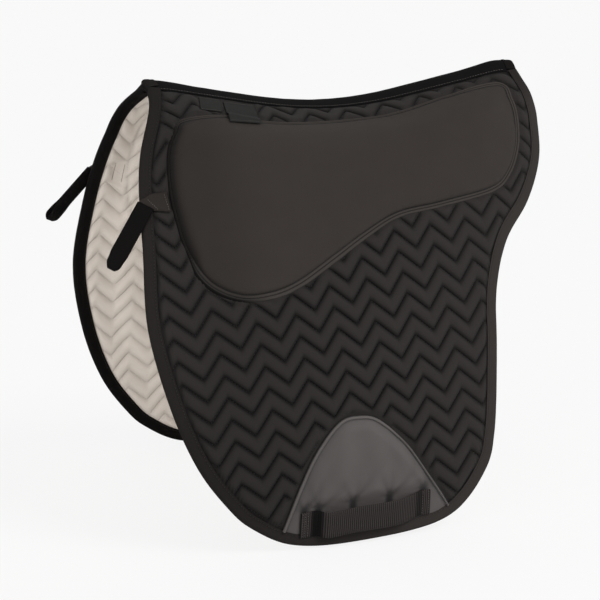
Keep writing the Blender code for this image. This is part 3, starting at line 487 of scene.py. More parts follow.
def near_place(a, b):
    cosine, sine = math.cos(CHEVRON_TILT), math.sin(CHEVRON_TILT)
    x = GRID_START[0] + a * cosine + b * sine
    even = GRID_START[1] - a * sine + b * cosine + CHEVRON_BOW * dip(x)
    v = even
    for _ in range(6):
        v = even + row_drift(x, v)
    return x, v


def from_pattern(side, a, b):
    x, v = near_place(a, b)
    if side == "right":
        for _ in range(8):
            along, down = far_shift(x, v)
            x, v = near_place(a + along, b + down)
    return x, v


def zigzag(a):
    """The stitch line's way across its row, with its corners a little rounded."""
    rising = 1 - CHEVRON_STEEP_SHARE
    total = 0
    for aside, weight in ((-0.0018, 0.25), (0, 0.5), (0.0018, 0.25)):
        share = ((a + aside) / CHEVRON_WIDTH) % 1
        climb = np.where(share < rising, share / rising, (1 - share) / CHEVRON_STEEP_SHARE)
        total = total - weight * CHEVRON_HEIGHT * climb
    return total


def wobble(points, scale, seed=0.0):
    """Smooth noise between -1 and 1 over the flat pattern."""
    return np.array([noise.noise(Vector((x * scale, v * scale, seed))) for x, v in points])


def quilt_crown(side, x, v):
    """Heights of cover and lining, from 0 on a stitch line to 1 between two, and painted shade
    along the stitch lines.
    """
    a, b = to_pattern(side, x, v)
    share = ((b - zigzag(a)) / CHEVRON_ROW) % 1
    off_line = np.minimum(share, 1 - share) * CHEVRON_ROW
    full = 1 - np.abs(2 * share - 1) ** 2.2
    pinch = 1 - np.exp(-off_line / GROOVE_WIDTH)
    soft = np.sin(math.pi * share) ** 0.8
    return 0.58 * full + 0.42 * pinch, soft, 1 - bell(off_line, SHADE_WIDTH)


def wadding_depth(inside):
    full = WADDING_THICKNESS - WADDING_EDGE_THICKNESS
    return WADDING_EDGE_THICKNESS + full * smooth_step((inside - PRESSED_WIDTH) / (2 * CROWN_FADE))


def lining_lift(points, above):
    """The height of the lining's inner face, less what stands on it."""
    depth = wadding_depth(distance_to(FLAP, points))
    return -(COVER_THICKNESS + 2 * PLY_GAP + depth + LINING_THICKNESS + above)


# Meshes


def linked(name, data):
    made = bpy.data.objects.new(name, data)
    bpy.context.scene.collection.objects.link(made)
    return made


def build(name, points, faces, flat, crown=None, sharp=50.0):
    """A mesh object from arrays, with its flat cloth coordinates and its painted shade, the crown,
    as attributes.
    """
    mesh = bpy.data.meshes.new(name)
    sizes = np.array([len(f) for f in faces])
    mesh.vertices.add(len(points))
    mesh.vertices.foreach_set("co", np.asarray(points, np.float32).ravel())
    mesh.loops.add(int(sizes.sum()))
    mesh.loops.foreach_set("vertex_index", np.concatenate(faces).astype(np.int32))
    mesh.polygons.add(len(sizes))
    starts = np.concatenate([[0], np.cumsum(sizes)[:-1]]).astype(np.int32)
    mesh.polygons.foreach_set("loop_start", starts)
    mesh.update(calc_edges=True)
    mesh.validate()
    cloth = mesh.attributes.new("cloth", "FLOAT_VECTOR", "POINT")
    coords = np.zeros((len(points), 3), np.float32)
    coords[:, :2] = flat
    cloth.data.foreach_set("vector", coords.ravel())
    share = mesh.attributes.new("crown", "FLOAT", "POINT")
    share.data.foreach_set(
        "value", np.asarray(np.ones(len(points)) if crown is None else crown, np.float32)
    )
    mesh.shade_smooth()
    mesh.set_sharp_from_angle(angle=math.radians(sharp))
    return linked(name, mesh)


def grid_quads(rows, columns):
    """Quads over a grid of points that are numbered row by row."""
    i, j = np.meshgrid(np.arange(rows - 1), np.arange(columns - 1), indexing="ij")
    corner = (i * columns + j).ravel()
    return np.column_stack([corner, corner + columns, corner + columns + 1, corner + 1])


def tube_faces(rings, around, closed=False):
    """Faces between rings of points, with a cap at each end unless the tube is closed on itself."""
    i, k = np.meshgrid(np.arange(rings if closed else rings - 1), np.arange(around), indexing="ij")
    n, m = (i + 1) % rings, (k + 1) % around
    corners = (i * around + k, i * around + m, n * around + m, n * around + k)
    faces = list(np.column_stack([c.ravel() for c in corners]))
    if not closed:
        faces += [np.arange(around)[::-1], (rings - 1) * around + np.arange(around)]
    return faces


def slab(name, side, flat, faces, top, bottom, crown=None, sharp=50.0):
    """A closed sheet over part of the flat pattern, between two lifts given at each point."""
    count = len(flat)
    faces = [np.asarray(f) for f in faces]
    edges = {}
    for f in faces:
        for i, j in zip(f, np.roll(f, -1)):
            if (j, i) in edges:
                del edges[(j, i)]
            else:
                edges[(i, j)] = True
    walls = [np.array((j, i, i + count, j + count)) for i, j in edges]
    every = faces + [f[::-1] + count for f in faces] + walls
    if side == "left":
        every = [f[::-1] for f in every]
    points = np.vstack([
        laid(side, flat[:, 0], flat[:, 1], top), laid(side, flat[:, 0], flat[:, 1], bottom),
    ])
    crowns = None if crown is None else np.concatenate([crown, crown])
    return build(name, points, every, np.vstack([flat, flat]), crowns, sharp=sharp)


def turned_right(flat, faces):
    """Triangles with their corners in the order that faces outwards on the right side."""
    turned = []
    for f in faces:
        p = flat[list(f)]
        q = np.roll(p, -1, axis=0)
        area = np.sum(p[:, 0] * q[:, 1] - q[:, 0] * p[:, 1])
        if abs(area) > 1e-12:
            turned.append(tuple(f) if area > 0 else tuple(f)[::-1])
    return turned


def filled(loop, rings, spacing):
    """Triangles that fill an outline: rings near its edge, and an even grid inside them."""
    points = [loop]
    for distance in rings:
        ring = resampled(inset(loop, distance), 0.004 + distance / 8, closed=True)
        points.append(ring[distance_to(loop, ring) > 0.9 * distance])
    low, high = loop.min(0), loop.max(0)
    x = np.arange(low[0], high[0], spacing)
    v = np.arange(low[1], high[1], spacing * 0.87)
    grid = np.array([(p + (k % 2) * spacing / 2, q) for k, q in enumerate(v) for p in x])
    points.append(grid[distance_to(loop, grid) > max(rings) + 0.6 * spacing])
    verts = [Vector(p) for p in np.vstack(points)]
    made = geometry.delaunay_2d_cdt(verts, [], [list(range(len(loop)))], 1, 1e-7)
    flat = np.array([tuple(v) for v in made[0]])
    return flat, turned_right(flat, made[2])


def path_normals(path, closed):
    if closed:
        run = np.roll(path, -1, axis=0) - np.roll(path, 1, axis=0)
    else:
        run = np.gradient(path, axis=0)
    run /= np.linalg.norm(run, axis=1)[:, None]
    return np.column_stack([run[:, 1], -run[:, 0]])


def sweep(name, side, path, profile, closed=False, lifts=None, widths=1.0, shade=1.0, sharp=40.0):
    """A closed profile of (distance from the path, lift) carried along a flat path."""
    rings, around = len(path), len(profile)
    normals = path_normals(path, closed)
    reach = profile[None, :, 0] * np.broadcast_to(widths, (rings,))[:, None]
    flat = path[:, None, :] + normals[:, None, :] * reach[..., None]
    lift = np.broadcast_to(profile[:, 1], (rings, around)) if lifts is None else lifts
    points = laid(side, flat[..., 0], flat[..., 1], lift).reshape(-1, 3)
    along = np.concatenate([[0], np.cumsum(np.linalg.norm(np.diff(path, axis=0), axis=1))])
    girth = np.linalg.norm(np.diff(profile, axis=0), axis=1)
    across = np.concatenate([[0], np.cumsum(girth)])
    cloth = np.stack(np.meshgrid(along, across, indexing="ij"), axis=-1).reshape(-1, 2)
    faces = tube_faces(rings, around, closed)
    if side == "left":
        faces = [f[::-1] for f in faces]
    # The shade is painted shade, carried to the material as the crown attribute
    crown = np.broadcast_to(shade, (rings, around)).ravel()
    return outward(build(name, points, faces, cloth, crown, sharp=sharp))


def outward(obj):
    """Turns a closed mesh's faces so that it has a positive volume."""
    mesh = obj.data
    mesh.calc_loop_triangles()
    corners = np.empty(len(mesh.loop_triangles) * 3, np.int32)
    mesh.loop_triangles.foreach_get("vertices", corners)
    points = np.empty(len(mesh.vertices) * 3, np.float32)
    mesh.vertices.foreach_get("co", points)
    triangles = points.reshape(-1, 3)[corners.reshape(-1, 3)].astype(float)
    if np.linalg.det(triangles - triangles.mean((0, 1))).sum() < 0:
        mesh.flip_normals()
    return obj


def round_profile(radius, lift, count=12):
    turns = np.linspace(0, 2 * math.pi, count, endpoint=False)
    return np.column_stack([radius * np.cos(turns), lift + radius * np.sin(turns)])


def stitches(name, side, starts, ends, lift, thread=THREAD):
    """Short stitches between pairs of flat points, each a spindle of thread."""
    middle = (starts + ends) / 2
    tips = [laid(side, p[:, 0], p[:, 1], lift) for p in (starts, ends)]
    centre = laid(side, middle[:, 0], middle[:, 1], lift + thread * 0.4)
    above = laid(side, middle[:, 0], middle[:, 1], lift + 1e-4) - laid(
        side, middle[:, 0], middle[:, 1], lift
    )
    up = above / np.linalg.norm(above, axis=1)[:, None]
    run = tips[1] - tips[0]
    aside = np.cross(run / np.linalg.norm(run, axis=1)[:, None], up)
    ring = [centre + thread * d for d in (aside, up, -aside, -up)]
    points = np.stack([tips[0], *ring, tips[1]], axis=1).reshape(-1, 3)
    around = [(1, 2), (2, 3), (3, 4), (4, 1)]
    pattern = np.array([(0, j, i) for i, j in around] + [(5, i, j) for i, j in around])
    faces = (pattern[None] + 6 * np.arange(len(middle))[:, None, None]).reshape(-1, 3)
    return outward(build(name, points, list(faces), np.repeat(middle, 6, axis=0), sharp=180.0))


def dashes(path, pitch=STITCH_PITCH, length=STITCH_LENGTH, closed=False):
    """Start and end points of stitches along a flat path."""
    even = resampled(path, pitch, closed)
    if closed:
        even = np.vstack([even, even[:1]])
    return even[:-1], even[:-1] + (even[1:] - even[:-1]) * length / pitch


# Materials


def node(tree, kind, **settings):
    made = tree.nodes.new(kind)
    for key, value in settings.items():
        setattr(made, key, value)
    return made


def maths(tree, operation, first, second=None):
    made = node(tree, "ShaderNodeMath", operation=operation)
    for socket, value in zip(made.inputs, (first, second)):
        if value is None:
            continue
        if isinstance(value, (int, float)):
            socket.default_value = value
        else:
            tree.links.new(value, socket)
    return made.outputs[0]


def weave_height(tree, u, v, weave):
    """The height of a weave from 0 to 1, where u and v count its threads."""
    turn = 2 * math.pi
    if weave == "rib":
        return maths(tree, "ABSOLUTE", maths(tree, "SINE", maths(tree, "MULTIPLY", u, turn / 2)))
    if weave == "twill":
        diagonal = maths(tree, "ADD", u, v)
        long_wave = maths(tree, "SINE", maths(tree, "MULTIPLY", diagonal, turn))
        cross = maths(tree, "SINE", maths(tree, "MULTIPLY", maths(tree, "SUBTRACT", u, v), turn))
        both = maths(tree, "ADD", maths(tree, "MULTIPLY", long_wave, 0.35),
                     maths(tree, "MULTIPLY", cross, 0.15))
        return maths(tree, "ADD", both, 0.5)
    across = maths(tree, "SINE", maths(tree, "MULTIPLY", u, turn))
    down = maths(tree, "SINE", maths(tree, "MULTIPLY", v, turn))
    both = maths(tree, "MULTIPLY", maths(tree, "MULTIPLY", across, down), 0.5)
    return maths(tree, "ADD", both, 0.5)


def cloth_material(name, colour, roughness, weave, pitch, depth, specular=0.25, sheen=0.0,
                   groove=1.0, mottle=0.10):
    """Woven cloth: threads in relief with painted shade between them, uneven dye, and painted shade
    where the crown attribute gives it, such as in the quilting's grooves.
    """
    material = bpy.data.materials.new(name)
    material.use_nodes = True
    tree = material.node_tree
    shader = tree.nodes["Principled BSDF"]
    shader.inputs["Specular IOR Level"].default_value = specular
    shader.inputs["Sheen Weight"].default_value = sheen
    shader.inputs["Sheen Roughness"].default_value = 0.6
    where = node(tree, "ShaderNodeAttribute", attribute_name="cloth")
    threads = node(tree, "ShaderNodeVectorMath", operation="SCALE")
    tree.links.new(where.outputs["Vector"], threads.inputs[0])
    threads.inputs["Scale"].default_value = 1 / pitch
    parts = node(tree, "ShaderNodeSeparateXYZ")
    tree.links.new(threads.outputs[0], parts.inputs[0])
    height = weave_height(tree, parts.outputs[0], parts.outputs[1], weave)

    blotch = node(tree, "ShaderNodeTexNoise")
    blotch.inputs["Scale"].default_value = 28.0
    blotch.inputs["Detail"].default_value = 4.0
    blotch.inputs["Roughness"].default_value = 0.6
    fuzz = node(tree, "ShaderNodeTexNoise")
    fuzz.inputs["Scale"].default_value = 900.0
    fuzz.inputs["Detail"].default_value = 2.0
    for texture in (blotch, fuzz):
        tree.links.new(where.outputs["Vector"], texture.inputs["Vector"])
    blotched = maths(tree, "SUBTRACT", blotch.outputs["Fac"], 0.5)
    uneven = maths(tree, "MULTIPLY", blotched, 2 * mottle)
    grain = maths(tree, "MULTIPLY", maths(tree, "SUBTRACT", fuzz.outputs["Fac"], 0.5), 0.30)
    thread_shade = maths(tree, "MULTIPLY", maths(tree, "SUBTRACT", height, 0.5), 0.22)
    shade = maths(tree, "ADD", maths(tree, "ADD", uneven, grain),
                  maths(tree, "ADD", thread_shade, 1.0))
    # Painted shade: the crown attribute darkens the colour, down to the groove share where it is 0
    if groove < 1.0:
        crown = node(tree, "ShaderNodeAttribute", attribute_name="crown")
        deep = node(tree, "ShaderNodeMapRange")
        deep.inputs["To Min"].default_value = groove
        tree.links.new(crown.outputs["Fac"], deep.inputs["Value"])
        shade = maths(tree, "MULTIPLY", shade, deep.outputs["Result"])
    tint = node(tree, "ShaderNodeVectorMath", operation="SCALE")
    tint.inputs[0].default_value = colour
    tree.links.new(shade, tint.inputs["Scale"])
    tree.links.new(tint.outputs[0], shader.inputs["Base Color"])
    wear_and_painted_shade = maths(tree, "MULTIPLY", blotched, 0.16)
    tree.links.new(maths(tree, "ADD", wear_and_painted_shade, roughness), shader.inputs["Roughness"])
    bump = node(tree, "ShaderNodeBump")
    bump.inputs["Strength"].default_value = 0.8
    bump.inputs["Distance"].default_value = depth
    rough = maths(tree, "ADD", height, maths(tree, "MULTIPLY", fuzz.outputs["Fac"], 0.8))
    tree.links.new(rough, bump.inputs["Height"])
    tree.links.new(bump.outputs["Normal"], shader.inputs["Normal"])
    return material


QUILT_CLOTH = cloth_material(
    "black_quilted_cotton", (0.0300, 0.0262, 0.0245), 0.88, "twill", 0.0009, 0.00012,
    specular=0.14, sheen=0.04, groove=0.16,
)
PANEL_CLOTH = cloth_material(
    "black_brushed_canvas", (0.0400, 0.0332, 0.0292), 0.92, "plain", 0.0008, 0.00008,
    specular=0.15, sheen=0.05, groove=0.10, mottle=0.14,
)
CORD_CLOTH = cloth_material(
    "black_cord_canvas", (0.0600, 0.0530, 0.0485), 0.85, "twill", 0.0008, 0.00012, specular=0.15,
    groove=0.06,
)
TAB_CLOTH = cloth_material(
    "black_tab_canvas", (0.0290, 0.0240, 0.0215), 0.85, "twill", 0.0008, 0.00012, specular=0.12,
)
BINDING_CLOTH = cloth_material(
    "black_binding_tape", (0.0415, 0.0362, 0.0338), 0.85, "rib", 0.0011, 0.00018, specular=0.08,
    groove=0.10,
)
TAPE_CLOTH = cloth_material(
    "black_spine_tape", (0.0045, 0.0040, 0.0040), 0.85, "rib", 0.0013, 0.00025, specular=0.12,
)
WEBBING = cloth_material(
    "black_webbing", (0.0620, 0.0530, 0.0500), 0.75, "plain", 0.0011, 0.00020, specular=0.15,
    groove=0.04,
)
STRAP_WEBBING = cloth_material(
    "black_strap_webbing", (0.0042, 0.0036, 0.0034), 0.80, "plain", 0.0012, 0.00025, specular=0.08,
)
PATCH_CLOTH = cloth_material(
    "coated_grey_patch", (0.0940, 0.0830, 0.0795), 0.50, "twill", 0.0016, 0.00026,
    specular=0.5, groove=0.10, mottle=0.06,
)
# A copy of the coated patch cloth painted lighter, as a painted highlight on the cord
PAINTED_LIGHT_PATCH_CORD = cloth_material(
    "coated_grey_cord_painted_lighter", (0.1050, 0.0950, 0.0900), 0.50, "twill", 0.0012, 0.00020,
    specular=0.5, mottle=0.10,
)
LINING_CLOTH = cloth_material(
    "pale_lining_cotton", (0.78, 0.71, 0.64), 0.90, "plain", 0.0007, 0.00008,
    specular=0.2, sheen=0.1, groove=0.80, mottle=0.04,
)
LINING_TAPE_CLOTH = cloth_material(
    "pale_lining_tape", (0.74, 0.67, 0.60), 0.85, "rib", 0.0013, 0.00020, specular=0.2, mottle=0.04,
)
LABEL_CLOTH = cloth_material(
    "dark_label_weave", (0.0190, 0.0185, 0.0175), 0.60, "plain", 0.0006, 0.00010, specular=0.15,
)
DARK_THREAD = cloth_material(
    "black_thread", (0.0200, 0.0185, 0.0175), 0.55, "rib", 0.0005, 0.00010, specular=0.4,
)
TACK_THREAD = cloth_material(
    "grey_brown_tack_thread", (0.20, 0.17, 0.15), 0.70, "rib", 0.0005, 0.00010, specular=0.2,
)
PALE_THREAD = cloth_material(
    "pale_thread", (0.42, 0.37, 0.33), 0.60, "rib", 0.0005, 0.00010, specular=0.4,
)
GREY_THREAD = cloth_material(
    "grey_thread", (0.16, 0.15, 0.14), 0.55, "rib", 0.0005, 0.00010, specular=0.4,
)


def place(piece, side, material, slot, nodes=(), rides=None):
    """Gives a piece its material, hides the CAD nodes that it stands for, and ties it to the body
    it moves with, if any. Its slot is not used.
    """
    piece.data.materials.append(material)
    if nodes:
        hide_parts(*nodes)
    if rides:
        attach(piece, rides)
    else:
        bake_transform(piece)
    return piece


def sew(name, side, lines, lift, material, slot, rides=None, thread=THREAD, **spacing):
    """Places stitches along flat lines, at one height or at the heights that lift gives."""
    starts, ends = (np.vstack(p) for p in zip(*(dashes(line, **spacing) for line in lines)))
    lifts = lift(starts, ends) if callable(lift) else np.full(len(starts), lift)
    place(stitches(name, side, starts, ends, lifts, thread), side, material, slot, rides=rides)


# The quilting


def quilt_grid(side):
    """Flat points and quads that follow the chevrons, inside the bound edge."""
    rising = CHEVRON_WIDTH * (1 - CHEVRON_STEEP_SHARE)
    falling = CHEVRON_WIDTH - rising
    column = np.concatenate([np.arange(8) / 8 * rising, rising + np.arange(7) / 7 * falling])
    row = CHEVRON_ROW * np.array(
        (0, 0.035, 0.08, 0.15, 0.25, 0.38, 0.5, 0.62, 0.75, 0.85, 0.92, 0.965)
    )
    a = np.concatenate([k * CHEVRON_WIDTH + column for k in range(-3, 14)])
    s = np.concatenate([k * CHEVRON_ROW + row for k in range(-15, 18)])
    grid_a, grid_s = np.meshgrid(a, s, indexing="ij")
    x, v = from_pattern(side, grid_a, grid_s + zigzag(grid_a))
    flat = np.column_stack([x.ravel(), v.ravel()])
    good = (distance_to(flap_outline(0.007), flat) > 0.002).reshape(x.shape)
    whole = good[:-1, :-1] & good[1:, :-1] & good[1:, 1:] & good[:-1, 1:]
    used, index = np.unique(grid_quads(*x.shape)[whole.ravel()], return_inverse=True)
    return flat[used], list(index.reshape(-1, 4))


def pressed_by(points, loop, near, far):
    """0 under a piece that is sewn on and just beside it, 1 away from it."""
    return smooth_step((-distance_to(loop, points) - near) / (far - near))


def toward_front(points):
    """1 along the panel's front edge, 0 elsewhere."""
    return ramp(points[:, 0], -0.190, -0.040) * ramp(points[:, 1], 0.268, -0.030)


def flange_width(points):
    """The width of the panel's flange as a share of its profile: narrow in front and on top."""
    upper = ramp(points[:, 1], 0.13, -0.03) * ramp(points[:, 0], 0.18, -0.03)
    wide = 1.45 - 0.40 * ramp(points[:, 0], -0.06, 0.12)
    return wide - np.maximum(0.45 * upper * (wide - 0.2), 0.90 * toward_front(points))


def relief_left(side, points, shown, outer):
    """Share of the quilting's height that is left by what is sewn over it."""
    left = smooth_step((shown - (BINDING_WIDTH - 0.001)) / 0.007)
    if outer:
        patch = np.vstack([PATCH_LINE, [(0.06, 0.64), (-0.14, 0.64)]])
        flange = PANEL_FLANGE_WIDTH * flange_width(points)
        left = left * smooth_step((-distance_to(PANEL, points) - flange + 0.0008) / 0.0035)
        left = left * pressed_by(points, patch, 0.002, 0.008)
        left = left * pressed_by(points, TAB, 0.0, 0.005)
        if side == "left":
            for loop in LABEL_LOOPS.values():
                left = left * pressed_by(points, loop, 0.0, 0.004)
    else:
        left = left * pressed_by(points, TACKED, 0.0, 0.004)
    return left


def pucker(points, crown):
    """Small creases that run out from the stitch lines."""
    crumple = wobble(points, 95.0, 3.0) + 0.6 * wobble(points, 190.0, 7.0)
    return PUCKER * crumple * np.clip(1.2 - crown, 0, 1) * np.clip(crown * 4, 0, 1)


def swell(points):
    """Slow unevenness of the filling."""
    return 1 + 0.16 * wobble(points, 32.0, 11.0)


def make_quilt(side):
    flat, faces = quilt_grid(side)
    shown = distance_to(SHOWN, flat)
    height, lining_height, groove = quilt_crown(side, flat[:, 0], flat[:, 1])
    outer_left, inner_left = (relief_left(side, flat, shown, outer) for outer in (True, False))
    creases, swelling = pucker(flat, height), swell(flat)
    depth = wadding_depth(distance_to(FLAP, flat))
    top = (COVER_CROWN * height * swelling + creases) * outer_left
    bottom = -(COVER_THICKNESS + PLY_GAP + depth) + 0.0002
    # Painted shade: the grooves along the stitch lines, paler towards the rear, a painted shadow
    # along the binding's inner edge, and all of the quilting darker at its front
    groove_shade_fade = 1 - REAR_SHADE_FADE * ramp(flat[:, 0], -0.05, 0.25)
    crown = 1 - (1 - groove) * outer_left * groove_shade_fade
    crown = crown * (1 - EDGE_SHADOW_DARK * bell(shown - BINDING_WIDTH - 0.0009, EDGE_SHADOW_WIDTH))
    crown = crown * (FRONT_PAINTED_SHADE + (1 - FRONT_PAINTED_SHADE) * ramp(flat[:, 0], -0.27, 0.30))
    piece = slab(f"{side}_quilted_pad", side, flat, faces, top, bottom, crown, sharp=80.0)
    place(piece, side, QUILT_CLOTH, "quilted_cotton",
                    [f"{side}_quilted_cover", f"{side}_wadding"])

    seam = np.abs(distance_to(PANEL_SEAM, flat))
    drawn_in = bell(seam, 0.0019)
    bulge = (LINING_CROWN * lining_height * swelling + 0.6 * creases) * inner_left
    inner_top = -(COVER_THICKNESS + 2 * PLY_GAP + depth)
    inner = inner_top - LINING_THICKNESS - bulge * (1 - 0.75 * drawn_in)
    # Painted shade in the lining's grooves and along the panel's seam
    inner_crown = (1 - 0.85 * (1 - groove) * inner_left) * (1 - drawn_in)
    piece = slab(f"{side}_quilted_lining", side, flat, faces, inner_top, inner, inner_crown,
                 sharp=80.0)
    place(piece, side, LINING_CLOTH, "lining_cotton", [f"{side}_lining"])


def chevron_stitches(side):
    """Thread along the stitch lines, on the cover and on the lining."""
    starts, ends = [], []
    slope = math.hypot(CHEVRON_WIDTH / 2, CHEVRON_HEIGHT) / (CHEVRON_WIDTH / 2)
    pitch = STITCH_PITCH / slope
    for k in range(-15, 18):
        a = np.arange(-3 * CHEVRON_WIDTH, 13.5 * CHEVRON_WIDTH, pitch)
        b = k * CHEVRON_ROW + zigzag(a)
        x, v = from_pattern(side, a, b)
        line = np.column_stack([x, v])
        starts.append(line[:-1])
        ends.append(line[:-1] + (line[1:] - line[:-1]) * STITCH_LENGTH / STITCH_PITCH)
    starts, ends = np.vstack(starts), np.vstack(ends)
    shown = distance_to(SHOWN, starts)
    starts, ends, shown = (p[shown > BINDING_WIDTH + 0.001] for p in (starts, ends, shown))
    for name, outer, material, slot in (
        ("cover_stitching", True, DARK_THREAD, "quilted_cotton"),
        ("lining_stitching", False, PALE_THREAD, "lining_cotton"),
    ):
        if outer:
            stays = relief_left(side, starts, shown, outer) > 0.3
            lift = np.full(stays.sum(), 0.00012)
        else:
            stays = np.full(len(starts), True)
            lift = lining_lift(starts, 0.00012)
        piece = stitches(f"{side}_{name}", side, starts[stays], ends[stays], lift)
        place(piece, side, material, slot)


# Bindings and tapes


def binding_profile():
    """A tape folded over the edge: its outer face, the fold, its inner face, and back inside."""
    top, low = BINDING_TOP, LINING_EDGE_LIFT - 0.0010
    outer = np.array([
        (BINDING_WIDTH, top + 0.0002), (BINDING_WIDTH, top + 0.0011), (0.0125, top + 0.0014),
        (0.0105, top + 0.0011), (0.0075, top + 0.0015), (0.0040, top + 0.0016),
        (0.0018, top + 0.0011), (0.0004, top - 0.0004), (-0.0001, (top + low) / 2),
        (0.0004, low + 0.0004), (0.0018, low - 0.0011), (0.0040, low - 0.0016),
        (0.0075, low - 0.0015), (0.0105, low - 0.0011), (0.0125, low - 0.0014),
        (BINDING_WIDTH, low - 0.0011), (BINDING_WIDTH, low - 0.0002),
    ])
    inner = np.array([
        (0.0060, low + 0.0001), (0.0024, low + 0.0002), (0.0015, low + 0.0014),
        (0.0013, (top + low) / 2), (0.0015, top - 0.0014), (0.0024, top - 0.0002),
        (0.0060, top - 0.0001),
    ])
    return np.vstack([outer, inner])


def binding_lifts(path, profile, crest_side):
    """The profile's lifts along a path: higher over the tapes at the crest, and a little uneven."""
    from_crest = np.abs(path[:, 1] - dip(path[:, 0])) if not crest_side else np.abs(path[:, 1])
    near = smooth_step(1 - (from_crest - RIDGE_CLEAR) / 0.022)[:, None]
    raised = 0.0012 if crest_side else 0.0018
    over = np.where(profile[:, 1] > BINDING_MIDDLE, raised, -raised)[None, :] * near
    waves = wobble(path, 60.0, 5.0)[:, None]
    outer = (np.abs(profile[:, 1] - BINDING_MIDDLE) > 0.0024)[None, :]
    return profile[:, 1][None, :] + over + 0.00030 * waves * outer


def make_bindings():
    profile = binding_profile()
    # Painted shade on the tape's lower half, which folds round to the lining side
    shade = np.where(profile[:, 1] > BINDING_MIDDLE, 1.0, 0.0)[None, :]
    from_crest = EDGE[:, 1] - dip(EDGE[:, 0])
    side_path = EDGE[from_crest > RIDGE_CLEAR - 0.0001]
    # Painted shade: the bindings are darker towards the front and along the top at the rear
    wear_and_painted_shade = 0.38 + 0.62 * ramp(side_path[:, 0], -0.26, 0.34)
    wear_and_painted_shade = wear_and_painted_shade * (1 - 0.45 * ramp(side_path[:, 1], 0.075, -0.05) * (side_path[:, 0] > 0))
    first, last = EDGE[0], EDGE[-1]

    def crossing(end, reach_point, bow):
        reach = reach_point[1] - dip(reach_point[0])
        s = np.linspace(-reach, reach, 13)
        x = end[0] + (reach_point[0] - end[0]) * (s / reach) ** 2 + bow * (1 - (s / reach) ** 2)
        return np.column_stack([x, s + dip(x)])

    front = crossing(first, side_path[0], -ARCH_BOW)
    rear = crossing(last, side_path[-1], ARCH_BOW / 2)[::-1]
    for side in ("left", "right"):
        lifts = binding_lifts(side_path, profile, False)
        piece = sweep(f"{side}_edge_tape", side, side_path, profile, lifts=lifts,
                      shade=shade * wear_and_painted_shade[:, None])
        place(piece, side, BINDING_CLOTH, "binding_tape", [f"{side}_edge_binding"])
        seam = (side_path + path_normals(side_path, False) * BINDING_SEAM)[3:-3]
        for name, level in (("outer", 0.0019), ("inner", LINING_EDGE_LIFT - 0.0025)):
            sew(f"{side}_{name}_edge_stitching", side, [seam], level, DARK_THREAD, "binding_tape")
    for name, path in (("front", front), ("rear", rear)):
        lifts = binding_lifts(path, profile, True)
        # Painted shade: the front arch tape about as dark as the bindings' front, the rear arch
        # tape darker still
        piece = sweep(f"{name}_arch_tape", "right", path, profile, lifts=lifts,
                      shade=(0.35 if name == "front" else 0.12) * shade)
        place(piece, None, BINDING_CLOTH, "binding_tape", [f"{name}_arch_binding"], rides="spine")


def tape_grid(front, rear, half):
    """Flat points along the crest, the quads between them, and their ways across the tape."""
    x, s = np.meshgrid(np.linspace(front, rear, 151), np.linspace(-half, half, 25), indexing="ij")
    return np.column_stack([x.ravel(), (s + dip(x)).ravel()]), grid_quads(*x.shape), s.ravel()


def make_tapes():
    front = EDGE[0, 0] + BINDING_WIDTH - ARCH_BOW - 0.001
    rear = EDGE[-1, 0] - BINDING_WIDTH + 0.002
    flat, faces, across = tape_grid(front, rear, TAPE_WIDTH / 2)
    edge_share = smooth_step((TAPE_WIDTH / 2 - np.abs(across)) / 0.0012)
    wave = 0.00018 * wobble(flat, 70.0, 21.0)
    for name, low, material, slot, nodes in (
        ("spine_tape_bare", SEAT_GAP, TAPE_CLOTH, "binding_tape", ["spine_tape"]),
        ("spine_lining_tape_bare", LINING_TAPE_LIFT, LINING_TAPE_CLOTH, "lining_cotton",
         ["spine_lining_tape"]),
    ):
        outer = name == "spine_tape_bare"
        thick = TAPE_THICKNESS * (0.45 + 0.55 * edge_share)
        if outer:
            top, bottom = low + thick + wave, np.full(len(flat), low)
        else:
            top = np.full(len(flat), low + TAPE_THICKNESS)
            bottom = low + TAPE_THICKNESS - thick + wave
        piece = slab(name, "right", flat, faces, top, bottom, sharp=60.0)
        place(piece, None, material, slot, nodes, rides="spine")
        x = np.linspace(front + 0.004, rear - 0.004, 200)
        for half, s in (("left", -TAPE_SEAM), ("right", TAPE_SEAM)):
            sew(f"{name}_{half}_stitching", "right", [np.column_stack([x, dip(x) + s])],
                low + TAPE_THICKNESS + 0.0001 if outer else low - 0.0001,
                GREY_THREAD if outer else PALE_THREAD, slot, rides="spine", thread=0.00042,
                pitch=0.0036, length=0.0026)


# The saddle panel


